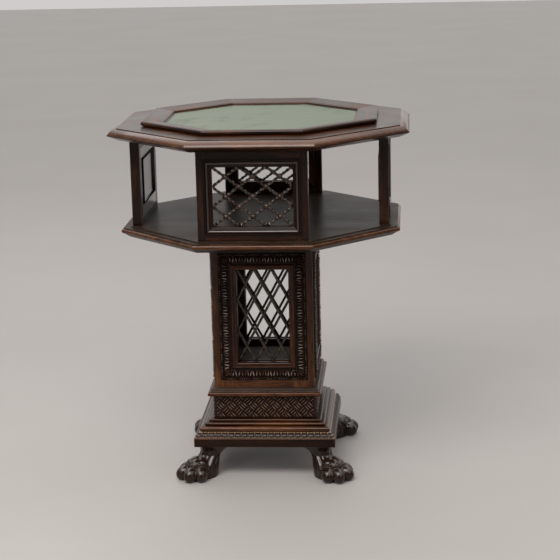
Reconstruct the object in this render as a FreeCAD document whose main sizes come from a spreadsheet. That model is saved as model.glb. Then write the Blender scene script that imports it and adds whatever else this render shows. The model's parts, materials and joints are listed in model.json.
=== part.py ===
import FreeCAD, Part
import Sketcher
import math
import os
import re
from itertools import product

# Octagonal two-tier book table. The upper part revolves on a square pedestal with lion-paw feet.
# Millimetres, +Z up, origin on the floor at the middle of the table, front towards -Y.

Vector = FreeCAD.Vector
UP = Vector(0, 0, 1)
doc = FreeCAD.newDocument("book_table")

# Driving sizes: alias, value, what it measures
SIZES = [
    ("paw_height", 73.5, "floor to the underside of the plinth slab"),
    ("paw_sole_centre", 200, "table axis to the middle of the sole"),
    ("paw_sole_length", 84, "sole, heel to toe roots"),
    ("paw_sole_width", 64, "sole, across"),
    ("paw_ball_level", 20, "floor to the widest part of the paw"),
    ("paw_ball_swell", 4, "how much wider than the sole the paw is there"),
    ("paw_ankle_centre", 181, "table axis to the middle of the ankle"),
    ("paw_ankle_length", 46, "ankle, along the paw"),
    ("paw_ankle_width", 41, "ankle, across"),
    ("paw_ankle_drop", 22, "slab down to the ankle"),
    ("paw_throat_drop", 8.5, "slab down to where the ankle turns out"),
    ("paw_neck_centre", 168, "table axis to the middle of the neck under the slab"),
    ("paw_neck_length", 78, "neck under the slab, along the paw"),
    ("paw_neck_width", 72, "neck under the slab, across"),
    ("toe_root", 200, "table axis to the point that the toes spread from"),
    ("inner_toe_turn", 13, "inner toes from the line of the paw, degrees"),
    ("outer_toe_turn", 41, "outer toes from the line of the paw, degrees"),
    ("inner_toe_reach", 56, "that point to the middle of an inner toe's end"),
    ("outer_toe_reach", 43, "that point to the middle of an outer toe's end"),
    ("toe_width", 27, "toe end, across"),
    ("toe_length", 34, "toe end, along the toe"),
    ("toe_level", 13, "floor to the middle of a toe end"),
    ("toe_height", 31, "floor to the top of a toe end"),
    ("knuckle_setback", 20, "toe end back to its knuckle"),
    ("knuckle_width", 25, "knuckle, across"),
    ("knuckle_length", 38, "knuckle, along the toe"),
    ("knuckle_level", 21, "floor to the middle of a knuckle"),
    ("knuckle_height", 53, "floor to the top of a knuckle"),
    ("foot_dowel_radius", 7, "dowel in each paw"),
    ("foot_dowel_in_paw", 22, "its length in the paw"),
    ("foot_dowel_in_slab", 15, "its length in the slab"),
    ("slab_half", 158.5, "plinth slab, half across"),
    ("slab_thickness", 20.5, "plinth slab"),
    ("slab_arris", 1.5, "eased edges of the slab"),
    ("leaf_height", 10.5, "carved leaf moulding"),
    ("leaf_foot", 1.8, "plain foot of the leaf moulding"),
    ("leaf_setback", 0.8, "leaf moulding's foot behind the slab's edge"),
    ("leaf_spread", 8.5, "how far the leaf moulding swells"),
    ("roll_lower", 6.2, "radius of the lower roll"),
    ("roll_middle", 3.5, "radius of the middle roll"),
    ("roll_upper", 2.6, "radius of the upper roll"),
    ("roll_step", 7.8, "how far each roll stands behind the one below"),
    ("roll_lower_centre", 139.8, "table axis to the lower roll's centre line"),
    ("roll_fillet", 2.2, "plain fillet above the rolls, height"),
    ("roll_fillet_proud", 1.5, "how far that fillet stands out from the frieze"),
    ("frieze_half", 115, "frieze box, half across"),
    ("frieze_height", 88, "frieze boards, slab to step board"),
    ("frieze_thickness", 18, "frieze boards"),
    ("corner_block", 24, "glue blocks in the plinth"),
    ("step_half", 128, "step board, half across"),
    ("step_thickness", 17.6, "step board"),
    ("step_nose", 10, "rounded nose of the step board"),
    ("step_inset", 7, "upper tread behind the nose"),
    ("step_round", 3, "rounded edge of the upper tread"),
    ("pedestal_half", 112.5, "pedestal, half across"),
    ("pedestal_height", 328.5, "pedestal frames"),
    ("pedestal_stile", 47.5, "front and back stiles, across"),
    ("pedestal_rail", 51, "pedestal rails, height"),
    ("pedestal_frame_thickness", 28, "pedestal frames"),
    ("border_band", 12, "flat band inside the carved border"),
    ("border_width", 21, "carved border"),
    ("border_fillet", 1.5, "plain edges of the carved border"),
    ("border_rise", 4.5, "how far the carved border swells"),
    ("sight_width", 7, "sight moulding in the pedestal openings"),
    ("sight_back", 12, "depth of the sight moulding"),
    ("sight_round", 5, "its rounding"),
    ("sight_recess", 1, "its front edge behind the frame's face"),
    ("cap_thickness", 14, "board that closes the pedestal"),
    ("plate_radius", 70, "swivel plates"),
    ("plate_thickness", 3, "swivel plates"),
    ("washer_radius", 58, "thrust washer, outside"),
    ("washer_bore", 22, "thrust washer, bore radius"),
    ("washer_thickness", 2, "thrust washer"),
    ("spindle_radius", 8, "swivel spindle"),
    ("spindle_in_cap", 12, "spindle's length in the cap board"),
    ("spindle_in_shelf", 14, "spindle's length in the shelf"),
    ("spindle_nose", 1.5, "chamfer at the spindle's top"),
    ("screw_circle", 64, "table axis to the plate screws"),
    ("screw_radius", 2.2, "plate screws, shank"),
    ("screw_head", 4.4, "plate screws, head radius"),
    ("screw_head_depth", 2.4, "plate screws, depth of the head"),
    ("screw_length", 12, "plate screws"),
    ("shelf_setback", 21.5, "shelf's sides behind the sides of the top"),
    ("shelf_thickness", 23, "shelf"),
    ("shelf_inset", 20, "flat of the shelf behind its lip"),
    ("shelf_quirk", 2, "step at the edge of the flat"),
    ("shelf_drop", 2.2, "step from the fillet to the rounded edge of the shelf"),
    ("shelf_nose", 5.2, "radius of the rounded edge of the shelf"),
    ("shelf_under_inset", 18, "bevel under the shelf's rounded edge"),
    ("panel_setback", 45.5, "outer face of the panel frames behind the sides of the top"),
    ("panel_height", 193, "panel frames, shelf to top"),
    ("panel_thickness", 21, "panel frames"),
    ("panel_stile", 18, "panel stiles, across"),
    ("panel_top_rail", 23.5, "upper rail of a panel, height"),
    ("panel_bottom_rail", 15.5, "lower rail of a panel, height"),
    ("moulding_reach", 13.5, "panel moulding, width inside the frame's opening"),
    ("moulding_lap", 4.5, "panel moulding, width over the frame"),
    ("moulding_fillet", 2, "panel moulding, height of its outer edge above the frame"),
    ("moulding_quirk", 1, "panel moulding, groove beside the roll"),
    ("moulding_roll", 3, "panel moulding, radius of the roll"),
    ("moulding_sink", 2, "panel moulding, foot of the roll below the frame's face"),
    ("moulding_slope", 4, "panel moulding, upper end of the sloping sight edge below the face"),
    ("moulding_sight", 7, "panel moulding, lower end of the sloping sight edge below the face"),
    ("moulding_back", 9, "panel moulding, depth in the opening"),
    ("lattice_space", 10, "depth kept for a lattice or a board"),
    ("bead_proud", 3, "panel beads, height above the frame's back"),
    ("bead_round", 2.5, "rounded edge of the beads"),
    ("rod_radius", 2.9, "lattice rods"),
    ("rod_layer", 1.6, "half the distance between the two layers of rods"),
    ("rosette_radius", 4.8, "rosette on a crossing of the twisted rods"),
    ("tenon_length", 12, "tenons on the rails"),
    ("tenon_thickness", 8, "tenons on the rails"),
    ("tenon_shoulder", 5, "shoulders above and below a tenon"),
    ("dowel_radius", 4, "dowels above and below the panels"),
    ("dowel_spread", 60, "dowels from the middle of a panel"),
    ("dowel_in_rail", 12, "their length in the rails"),
    ("dowel_in_board", 11, "their length in the shelf and the top"),
    ("top_apothem", 327.5, "top, centre to the middle of a side"),
    ("top_thickness", 26, "top"),
    ("top_inset", 19.5, "flat of the top behind its lip"),
    ("top_quirk", 1.5, "step at the edge of the flat"),
    ("top_ovolo_run", 17, "rounded edge of the top, across"),
    ("top_ovolo_drop", 11.5, "rounded edge of the top, height"),
    ("top_lip", 3, "lip of the top"),
    ("top_under_inset", 22, "bevel under the top's lip"),
    ("raised_setback", 70.5, "raised frame behind the sides of the top"),
    ("raised_width", 51, "raised frame, across"),
    ("raised_foot", 1, "foot of the raised frame"),
    ("raised_roll", 5.2, "roll round the raised frame"),
    ("raised_quirk", 1.2, "groove inside that roll"),
    ("raised_fall", 4.2, "fall of the raised frame from its roll to its inner steps"),
    ("raised_step", 8, "inner steps of the raised frame, across"),
    ("raised_bead", 2.5, "inner bead of the raised frame"),
    ("raised_ledge", 3.5, "ledge round the green panel"),
    ("inlay_thickness", 1.5, "green panel"),
    ("mitre_kerf", 0.12, "glue line of a mitre"),
    ("fit_gap", 0.2, "clearance round what is let in"),
    ("swivel_gap", 0.2, "clearance above the thrust washer"),
    ("running_gap", 0.05, "radial clearance of the spindle"),
    ("spindle_clear", 1, "clearance round and above the spindle in the shelf"),
    ("cut_margin", 6, "how far a cutter runs past the wood"),
]

sheet = doc.addObject("Spreadsheet::Sheet", "sizes")
for row, (alias, value, note) in enumerate(SIZES, start=1):
    sheet.set(f"A{row}", alias)
    sheet.set(f"B{row}", str(value))
    sheet.set(f"C{row}", note)
    sheet.setAlias(f"B{row}", alias)
doc.recompute()

ALIAS = re.compile(r"\b(" + "|".join(alias for alias, value, note in SIZES) + r")\b")

# Levels above the floor
slab_top = "(paw_height + slab_thickness)"
leaf_top = f"({slab_top} + leaf_height)"
frieze_top = f"({slab_top} + frieze_height)"
step_top = f"({frieze_top} + step_thickness)"
cap_low = f"({step_top} + pedestal_height)"
cap_top = f"({cap_low} + cap_thickness)"
washer_low = f"({cap_top} + plate_thickness)"
top_plate_low = f"({washer_low} + washer_thickness + swivel_gap)"
shelf_low = f"({top_plate_low} + plate_thickness)"
shelf_top = f"({shelf_low} + shelf_thickness)"
top_low = f"({shelf_top} + panel_height)"
top_face = f"({top_low} + top_thickness)"

# Octagons, centre to the middle of a side
shelf_side = "(top_apothem - shelf_setback)"
panel_face = "(top_apothem - panel_setback)"
raised_side = "(top_apothem - raised_setback)"

# Panel openings between shelf and top
panel_half = f"({panel_face} * tan(22.5))"
panel_open_half = f"({panel_half} - panel_stile)"
panel_open_low = f"({shelf_top} + panel_bottom_rail)"
panel_open_high = f"({top_low} - panel_top_rail)"
moulding_width = "(moulding_reach + moulding_lap)"

# Pedestal openings
pedestal_open_half = "(pedestal_half - pedestal_stile)"
pedestal_open_low = f"({step_top} + pedestal_rail)"
pedestal_open_high = f"({cap_low} - pedestal_rail)"

SIDES = {"front": 0, "right": 90, "back": 180, "left": 270}
subparts = []


def tie(text):
    """The same formula with each size read from the sheet."""
    return ALIAS.sub(r"sizes.\1", str(text))


def number(text):
    """Today's value of a formula."""
    return float(sheet.evalExpression(tie(text)))


def bind(thing, path, text):
    thing.setExpression(path, tie(text))


def keep(thing, label, turn=0):
    """A finished sub-part: its node name, and its turn about the table's axis."""
    thing.Label = label
    thing.Placement = FreeCAD.Placement(Vector(), FreeCAD.Rotation(UP, turn))
    subparts.append(thing)
    return thing


def copies(thing, places):
    """One sub-part for each name, turned to its place."""
    for label, turn in places.items():
        copy = doc.addObject("Part::Compound", label)
        copy.Links = [thing]
        keep(copy, label, turn)


def group(label, things):
    """Separate pieces that share a node."""
    gathered = doc.addObject("Part::Compound", label)
    gathered.Links = things
    return gathered


# Sketches
def new_body(name):
    return doc.addObject("PartDesign::Body", name)


def origin_part(body, role):
    return next(item for item in body.Origin.OriginFeatures if item.Role == role)


def sketch_on(body, plane, rise="0", shift="0"):
    """A sketch in one of the body's planes, raised along its normal and shifted along its X."""
    sketch = body.newObject("Sketcher::SketchObject", "outline")
    sketch.AttachmentSupport = [(origin_part(body, plane), "")]
    sketch.MapMode = "FlatFace"
    bind(sketch, "AttachmentOffset.Base.z", rise)
    bind(sketch, "AttachmentOffset.Base.x", shift)
    return sketch


def pin_point(sketch, geometry, point, x=None, y=None):
    """Tie a point's coordinates to the sheet."""
    for kind, text in (("DistanceX", x), ("DistanceY", y)):
        if text is not None:
            rule = Sketcher.Constraint(kind, -1, 1, geometry, point, number(text))
            bind(sketch, f"Constraints[{sketch.addConstraint(rule)}]", text)


def arc_between(start, end, centre, turn):
    """Arc about centre; turn is 1 for anticlockwise from start to end, -1 for clockwise."""
    first, last = (start, end) if turn > 0 else (end, start)
    angles = [math.atan2(spot.y - centre.y, spot.x - centre.x) for spot in (first, last)]
    circle = Part.Circle(centre, UP, (start - centre).Length)
    return Part.ArcOfCircle(circle, angles[0], angles[1])


def draw(sketch, corners):
    """Closed outline. A corner is (x, y); with (x, y, centre x, centre y, turn) an arc leaves it."""
    spots = [Vector(number(corner[0]), number(corner[1]), 0) for corner in corners]
    count = len(corners)
    first = sketch.GeometryCount
    tails = []
    heads = []
    for index, corner in enumerate(corners):
        start = spots[index]
        end = spots[(index + 1) % count]
        if len(corner) == 2:
            sketch.addGeometry(Part.LineSegment(start, end))
            tails.append(1)
            heads.append(2)
        else:
            centre = Vector(number(corner[2]), number(corner[3]), 0)
            sketch.addGeometry(arc_between(start, end, centre, corner[4]))
            tails.append(1 if corner[4] > 0 else 2)
            heads.append(2 if corner[4] > 0 else 1)
    for index, corner in enumerate(corners):
        following = (index + 1) % count
        joint = (first + index, heads[index], first + following, tails[following])
        sketch.addConstraint(Sketcher.Constraint("Coincident", *joint))
        pin_point(sketch, first + index, tails[index], corner[0], corner[1])
        if len(corner) > 2:
            chord = spots[following] - spots[index]
            if abs(chord.y) > abs(chord.x):
                pin_point(sketch, first + index, 3, x=corner[2])
            else:
                pin_point(sketch, first + index, 3, y=corner[3])


def draw_circle(sketch, x, y, radius):
    circle = Part.Circle(Vector(number(x), number(y), 0), UP, number(radius))
    geometry = sketch.addGeometry(circle)
    pin_point(sketch, geometry, 3, x, y)
    rule = sketch.addConstraint(Sketcher.Constraint("Radius", geometry, number(radius)))
    bind(sketch, f"Constraints[{rule}]", radius)


def polygon(sides, apothem):
    """Corners of a regular polygon with a flat side towards +X."""
    half = 180 / sides
    turns = [half * (2 * corner + 1) for corner in range(sides)]
    reach = f"{apothem} / cos({half})"
    return [(f"{reach} * cos({turn})", f"{reach} * sin({turn})") for turn in turns]


# Features
def pad(body, sketch, length):
    feature = body.newObject("PartDesign::Pad", "pad")
    feature.Profile = sketch
    bind(feature, "Length", length)
    return feature


def pocket(body, sketch, depth=None, upward=False):
    """A cut of the given depth, or right through both ways."""
    feature = body.newObject("PartDesign::Pocket", "pocket")
    feature.Profile = sketch
    feature.Reversed = upward
    if depth is None:
        feature.Type = "ThroughAll"
        feature.Midplane = True
    else:
        bind(feature, "Length", depth)
    return feature


def turned(body, sketch, kind):
    """A revolution or a groove about the sketch's upright axis."""
    feature = body.newObject(f"PartDesign::{kind}", "turned")
    feature.Profile = sketch
    feature.ReferenceAxis = (sketch, ["V_Axis"])
    feature.Angle = 360
    return feature


def repeat(body, feature, count):
    pattern = body.newObject("PartDesign::PolarPattern", "round")
    pattern.Originals = [feature]
    pattern.Axis = (origin_part(body, "Z_Axis"), [""])
    pattern.Angle = 360
    pattern.Occurrences = count
    body.Tip = pattern


def run_round(body, path, profile, kind):
    """A profile run along a closed path with mitred corners."""
    feature = body.newObject(f"PartDesign::{kind}", "run")
    feature.Profile = profile
    feature.Spine = path
    feature.Transition = "Right corner"
    return feature


def polygon_path(body, sides, apothem):
    """Closed path that starts in the middle of the side towards +X."""
    path = sketch_on(body, "XY_Plane")
    draw(path, [(apothem, "0")] + polygon(sides, apothem))
    return path


def board(name, sides, apothem, low, thickness, edges=()):
    """A flat board with mouldings cut round its edge; an edge is an outline in (out from centre, up)."""
    body = new_body(name)
    sketch = sketch_on(body, "XY_Plane", low)
    draw(sketch, polygon(sides, apothem))
    pad(body, sketch, thickness)
    for edge in edges:
        profile = sketch_on(body, "XZ_Plane")
        draw(profile, edge)
        run_round(body, polygon_path(body, sides, apothem), profile, "SubtractivePipe")
    return body


def ring(name, sides, inside, outside, profile):
    """Mitred lengths round a polygon; the profile is an outline in (out from centre, up)."""
    body = new_body(name)
    section = sketch_on(body, "XZ_Plane")
    draw(section, profile)
    run_round(body, polygon_path(body, sides, outside), section, "AdditivePipe")
    kerfs = sketch_on(body, "XY_Plane", profile[0][1])
    half = 180 / sides
    for corner in range(sides):
        turn = half * (2 * corner + 1)
        near = f"({inside} - cut_margin) / cos({half})"
        far = f"({outside} + cut_margin) / cos({half})"
        ends = [(near, -1), (far, -1), (far, 1), (near, 1)]
        draw(kerfs, [
            (f"{reach} * cos({turn}) - {side} * mitre_kerf / 2 * sin({turn})",
             f"{reach} * sin({turn}) + {side} * mitre_kerf / 2 * cos({turn})")
            for reach, side in ends
        ])
    pocket(body, kerfs)
    return body


def face_frame(name, half, low, high, face, profile, width):
    """Mitred lengths round an opening in the front face.

    The opening is half wide each way from the middle and runs from low to high. The profile is an
    outline in (out from the opening's edge, out from the face at distance face from the axis).
    """
    body = new_body(name)
    section = sketch_on(body, "YZ_Plane")
    draw(section, [
        (f"-({face} + {corner[1]})", f"{low} - ({corner[0]})") if len(corner) == 2 else
        (f"-({face} + {corner[1]})", f"{low} - ({corner[0]})",
         f"-({face} + {corner[3]})", f"{low} - ({corner[2]})", -corner[4])
        for corner in profile
    ])
    path = sketch_on(body, "XZ_Plane", face)
    draw(path, [("0", low), (half, low), (half, high), (f"-{half}", high), (f"-{half}", low)])
    run_round(body, path, section, "AdditivePipe")
    kerfs = sketch_on(body, "XZ_Plane", face)
    for across in (-1, 1):
        for end, upward in ((low, -1), (high, 1)):
            far = f"({width} + cut_margin)"
            inner = (f"{across} * ({half} - cut_margin)", f"{end} - {upward} * cut_margin")
            outer = (f"{across} * ({half} + {far})", f"{end} + {upward} * {far}")
            draw(kerfs, [
                (f"{inner[0]} - mitre_kerf / 2", inner[1]),
                (f"{outer[0]} - mitre_kerf / 2", outer[1]),
                (f"{outer[0]} + mitre_kerf / 2", outer[1]),
                (f"{inner[0]} + mitre_kerf / 2", inner[1]),
            ])
    pocket(body, kerfs)
    return body


# Plain solids
def box(name, low, high):
    """A block between two corners."""
    block = doc.addObject("Part::Box", name)
    for size, start, end in zip(("Length", "Width", "Height"), low, high):
        bind(block, size, f"{end} - ({start})")
    for axis, start in zip("xyz", low):
        bind(block, f"Placement.Base.{axis}", start)
    return block


def cylinder(name, base, radius, height):
    """An upright cylinder."""
    post = doc.addObject("Part::Cylinder", name)
    bind(post, "Radius", radius)
    bind(post, "Height", height)
    for axis, start in zip("xyz", base):
        bind(post, f"Placement.Base.{axis}", start)
    return post


def fuse(name, things):
    joined = doc.addObject("Part::MultiFuse", name)
    joined.Shapes = things
    return joined


def cut(name, base, tool):
    rest = doc.addObject("Part::Cut", name)
    rest.Base = base
    rest.Tool = tool
    return rest


def common(name, base, tool):
    shared = doc.addObject("Part::Common", name)
    shared.Base = base
    shared.Tool = tool
    return shared


# Joinery
def tenoned_frame(name, half, stile, low, high, rails, face, thickness, holes=None):
    """Two stiles and two tenoned rails of a frame in the front face.

    rails gives the heights of the lower and the upper rail; holes is cut out of both.
    """
    front = f"-({face})"
    back = f"(-({face}) + {thickness})"
    shoulder = f"({half} - {stile})"
    middle = f"(-({face}) + {thickness} / 2)"
    tenon_end = f"({shoulder} + tenon_length)"
    ends = ((low, f"({low} + {rails[0]})"), (f"({high} - {rails[1]})", high))
    pieces = []
    tenons = []
    for start, end in ends:
        tenon = box("tenon",
                    (f"-{tenon_end}", f"{middle} - tenon_thickness / 2", f"{start} + tenon_shoulder"),
                    (tenon_end, f"{middle} + tenon_thickness / 2", f"{end} - tenon_shoulder"))
        bar = box("bar", (f"-{shoulder}", front, start), (shoulder, back, end))
        rail = fuse("rail", [bar, tenon])
        pieces.append(cut("drilled_rail", rail, holes) if holes else rail)
        tenons.append(tenon)
    for across in (-1, 1):
        edges = (f"-{half}", f"-{shoulder}") if across < 0 else (shoulder, half)
        stile_block = box("stile", (edges[0], front, low), (edges[1], back, high))
        for tenon in tenons:
            stile_block = cut("mortised_stile", stile_block, tenon)
        pieces.append(stile_block)
    return group(name, pieces)


def lattice(name, half, low, high, reach, face, depth, rosettes):
    """Two layers of crossing rods, three diamonds across and three up.

    The opening in sight is half wide each way and runs from low to high; the rods run on by reach
    behind its edge. depth is how far the lattice's middle lies behind the face.
    """
    middle = f"(({low} + {high}) / 2)"
    rise = f"(({high} - {low}) / 2)"
    slope = f"atan({rise} / {half})"
    length = f"(4 * sqrt({half} ^ 2 + {rise} ^ 2))"
    plane = f"(-({face}) + {depth})"
    pieces = []
    for layer in (-1, 1):
        for step in range(-2, 3):
            rod = doc.addObject("Part::Cylinder", "rod")
            bind(rod, "Radius", "rod_radius")
            bind(rod, "Height", length)
            rod.Placement.Rotation = FreeCAD.Rotation(Vector(0, 1, 0), 90)
            bind(rod, "Placement.Rotation.Angle", f"90 deg - {layer} * {slope}")
            bind(rod, "Placement.Base.x", f"{step} * 2 / 3 * {half} - {length} / 2 * cos({slope})")
            bind(rod, "Placement.Base.y", f"{plane} + {layer} * rod_layer")
            bind(rod, "Placement.Base.z", f"{middle} - {layer} * {length} / 2 * sin({slope})")
            pieces.append(rod)
    if rosettes:
        spots = [(across, up) for across in range(-2, 3) for up in range(-2, 3) if (across + up) % 2 == 0]
        for across, up in spots:
            rosette = doc.addObject("Part::Cylinder", "rosette")
            bind(rosette, "Radius", "rosette_radius")
            bind(rosette, "Height", "lattice_space - 2 * fit_gap")
            rosette.Placement.Rotation = FreeCAD.Rotation(Vector(1, 0, 0), 90)
            bind(rosette, "Placement.Base.x", f"{across} / 3 * {half}")
            bind(rosette, "Placement.Base.y", f"{plane} + lattice_space / 2 - fit_gap")
            bind(rosette, "Placement.Base.z", f"{middle} + {up} / 3 * {rise}")
            pieces.append(rosette)
    edge = f"({reach} - fit_gap)"
    room = box("room",
               (f"-({half} + {edge})", f"{plane} - lattice_space / 2", f"{low} - {edge}"),
               (f"{half} + {edge}", f"{plane} + lattice_space / 2", f"{high} + {edge}"))
    return common(name, fuse("crossed_rods", pieces), room)


def filling_board(name, half, low, high, face, depth):
    """A plain board in a frame's opening, with its middle at depth behind the face."""
    thickness = "(lattice_space - 2 * fit_gap)"
    return box(name,
               (f"-({half} - fit_gap)", f"-({face}) + {depth} - {thickness} / 2", f"{low} + fit_gap"),
               (f"{half} - fit_gap", f"-({face}) + {depth} + {thickness} / 2", f"{high} - fit_gap"))


def bead_profile(width, front, back):
    """Holding bead, rounded on its edge towards the opening; front and back lie behind the face."""
    return [
        (width, f"-{front}"),
        ("0", f"-{front}"),
        ("0", f"-({back} - bead_round)", "bead_round", f"-({back} - bead_round)", 1),
        ("bead_round", f"-{back}"),
        (width, f"-{back}"),
    ]


# Lion-paw feet
def paw():
    """One paw, pointing along +X: sole, ankle and neck in one swell, four spread toes in front."""
    ankle_level = "(paw_height - paw_ankle_drop)"
    sections = [
        ("0", "paw_sole_centre", "paw_sole_length", "paw_sole_width"),
        ("paw_ball_level", "paw_sole_centre", "paw_sole_length", "paw_sole_width + paw_ball_swell"),
        (f"(paw_ball_level + {ankle_level}) / 2", "(paw_sole_centre + paw_ankle_centre) / 2",
         "(paw_sole_length + paw_ankle_length) / 2", "(paw_sole_width + paw_ankle_width) / 2"),
        (ankle_level, "paw_ankle_centre", "paw_ankle_length", "paw_ankle_width"),
        ("paw_height - paw_throat_drop", "(paw_ankle_centre + paw_neck_centre) / 2",
         "(2 * paw_ankle_length + paw_neck_length) / 3", "(2 * paw_ankle_width + paw_neck_width) / 3"),
        ("paw_height", "paw_neck_centre", "paw_neck_length", "paw_neck_width"),
    ]
    slices = []
    for level, centre, length, width in sections:
        oval = doc.addObject("Part::Ellipse", "section")
        bind(oval, "MajorRadius", f"({length}) / 2")
        bind(oval, "MinorRadius", f"({width}) / 2")
        bind(oval, "Placement.Base.x", centre)
        bind(oval, "Placement.Base.z", level)
        slices.append(oval)
    leg = doc.addObject("Part::Loft", "leg")
    leg.Sections = slices
    leg.Solid = True
    pieces = [leg]
    for side, toe in product((-1, 1), ("inner", "outer")):
        turn = f"({side} * {toe}_toe_turn)"
        for swelling, setback in (("toe", "0"), ("knuckle", "knuckle_setback")):
            reach = f"({toe}_toe_reach - {setback})"
            swell = doc.addObject("Part::Ellipsoid", swelling)
            swell.Placement.Rotation = FreeCAD.Rotation(UP, side)
            bind(swell, "Radius1", f"{swelling}_height - {swelling}_level")
            bind(swell, "Radius2", f"{swelling}_length / 2")
            bind(swell, "Radius3", f"{swelling}_width / 2")
            bind(swell, "Placement.Rotation.Angle", f"{side} * {turn} * 1 deg")
            bind(swell, "Placement.Base.x", f"toe_root + {reach} * cos({turn})")
            bind(swell, "Placement.Base.y", f"{reach} * sin({turn})")
            bind(swell, "Placement.Base.z", f"{swelling}_level")
            pieces.append(swell)
    whole = fuse("whole_paw", pieces)
    paw_end = "(toe_root + inner_toe_reach + toe_length)"
    room = box("room_above_floor", ("0", f"-{paw_end}", "0"), (paw_end, paw_end, "paw_height"))
    bore = cylinder("bore", ("paw_ankle_centre", "0", "paw_height - foot_dowel_in_paw"),
                    "foot_dowel_radius", "foot_dowel_in_paw + cut_margin")
    return cut("paw", common("standing_paw", whole, room), bore)


diagonals = {"back_right": 45, "back_left": 135, "front_left": 225, "front_right": 315}
copies(paw(), {f"paw_foot_{place}": turn for place, turn in diagonals.items()})

foot_spots = [(f"paw_ankle_centre * cos({turn})", f"paw_ankle_centre * sin({turn})")
              for turn in diagonals.values()]
dowels = []
for x, y in foot_spots:
    base = (x, y, "paw_height - foot_dowel_in_paw")
    dowels.append(cylinder("foot_dowel", base, "foot_dowel_radius", "foot_dowel_in_paw + foot_dowel_in_slab"))
keep(group("foot_dowels", dowels), "foot_dowels")

# Plinth
slab = board("plinth_slab", 4, "slab_half", "paw_height", "slab_thickness")
plain_slab = slab.Tip
eased = slab.newObject("PartDesign::Fillet", "eased_edges")
eased.Base = (plain_slab, ["Edge1"])
eased.UseAllEdges = True
bind(eased, "Radius", "slab_arris")
sockets = sketch_on(slab, "XY_Plane", "paw_height")
for x, y in foot_spots:
    draw_circle(sockets, x, y, "foot_dowel_radius")
pocket(slab, sockets, "foot_dowel_in_slab", upward=True)
keep(slab, "plinth_slab")

leaf_out = "(slab_half - slab_arris - leaf_setback)"
leaf_rise = "(leaf_height - leaf_foot)"
leaf_radius = f"((leaf_spread ^ 2 + {leaf_rise} ^ 2) / (2 * leaf_spread))"
leaf = ring("plinth_leaf_moulding", 4, "frieze_half", leaf_out, [
    ("frieze_half", slab_top),
    (leaf_out, slab_top),
    (leaf_out, f"{slab_top} + leaf_foot", f"{leaf_out} - {leaf_radius}", f"{slab_top} + leaf_foot", 1),
    (f"{leaf_out} - leaf_spread", leaf_top),
    ("frieze_half", leaf_top),
])
keep(leaf, "plinth_leaf_moulding")

roll_outline = [("frieze_half", leaf_top)]
roll_low = leaf_top
for step, radius in enumerate(("roll_lower", "roll_middle", "roll_upper")):
    roll_line = f"(roll_lower_centre - {step} * roll_step)"
    roll_high = f"({roll_low} + 2 * {radius})"
    roll_outline.append((roll_line, roll_low, roll_line, f"{roll_low} + {radius}", 1))
    roll_outline.append((roll_line, roll_high))
    roll_low = roll_high
fillet_face = "(frieze_half + roll_fillet_proud)"
fillet_top = f"({roll_low} + roll_fillet)"
roll_outline += [
    (fillet_face, roll_low),
    (fillet_face, fillet_top),
    ("frieze_half", fillet_top),
]
rolls = ring("plinth_roll_moulding", 4, "frieze_half", "(roll_lower_centre + roll_lower)", roll_outline)
keep(rolls, "plinth_roll_moulding")

frieze_inside = "(frieze_half - frieze_thickness)"
friezes = []
blocks = []
for side in (-1, 1):
    outer = f"{side} * frieze_half"
    inner = f"{side} * {frieze_inside}"
    low, high = (outer, inner) if side < 0 else (inner, outer)
    friezes.append(box("frieze", ("-frieze_half", low, slab_top), ("frieze_half", high, frieze_top)))
    friezes.append(box("frieze", (low, f"-{frieze_inside}", slab_top), (high, frieze_inside, frieze_top)))
    for other in (-1, 1):
        starts = []
        ends = []
        for sign in (side, other):
            far = f"{sign} * {frieze_inside}"
            near = f"{sign} * ({frieze_inside} - corner_block)"
            starts.append(far if sign < 0 else near)
            ends.append(near if sign < 0 else far)
        blocks.append(box("block", (*starts, slab_top), (*ends, frieze_top)))
keep(group("frieze_boards", friezes), "frieze_boards")
keep(group("plinth_corner_blocks", blocks), "plinth_corner_blocks")

nose_radius = "(step_nose / 2)"
nose_centre = f"(step_half - {nose_radius})"
nose_top = f"({frieze_top} + step_nose)"
tread_edge = "(step_half - step_inset)"
tread_flat = f"({tread_edge} - step_round)"
step = board("step_board", 4, "step_half", frieze_top, "step_thickness", [[
    (nose_centre, nose_top, nose_centre, f"{frieze_top} + {nose_radius}", -1),
    (nose_centre, frieze_top),
    (nose_centre, f"{frieze_top} - cut_margin"),
    ("step_half + cut_margin", f"{frieze_top} - cut_margin"),
    ("step_half + cut_margin", f"{step_top} + cut_margin"),
    (tread_flat, f"{step_top} + cut_margin"),
    (tread_flat, step_top, tread_flat, f"{step_top} - step_round", -1),
    (tread_edge, f"{step_top} - step_round"),
    (tread_edge, nose_top),
]])
keep(step, "step_board")

# Pedestal
wide = tenoned_frame("pedestal_frame", "pedestal_half", "pedestal_stile", step_top, cap_low,
                     ("pedestal_rail", "pedestal_rail"), "pedestal_half", "pedestal_frame_thickness")
narrow_half = "(pedestal_half - pedestal_frame_thickness)"
narrow_stile = f"({narrow_half} - {pedestal_open_half})"
narrow = tenoned_frame("pedestal_frame", narrow_half, narrow_stile, step_top, cap_low,
                       ("pedestal_rail", "pedestal_rail"), "pedestal_half", "pedestal_frame_thickness")
copies(wide, {f"pedestal_frame_{side}": SIDES[side] for side in ("front", "back")})
copies(narrow, {f"pedestal_frame_{side}": SIDES[side] for side in ("right", "left")})

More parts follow.
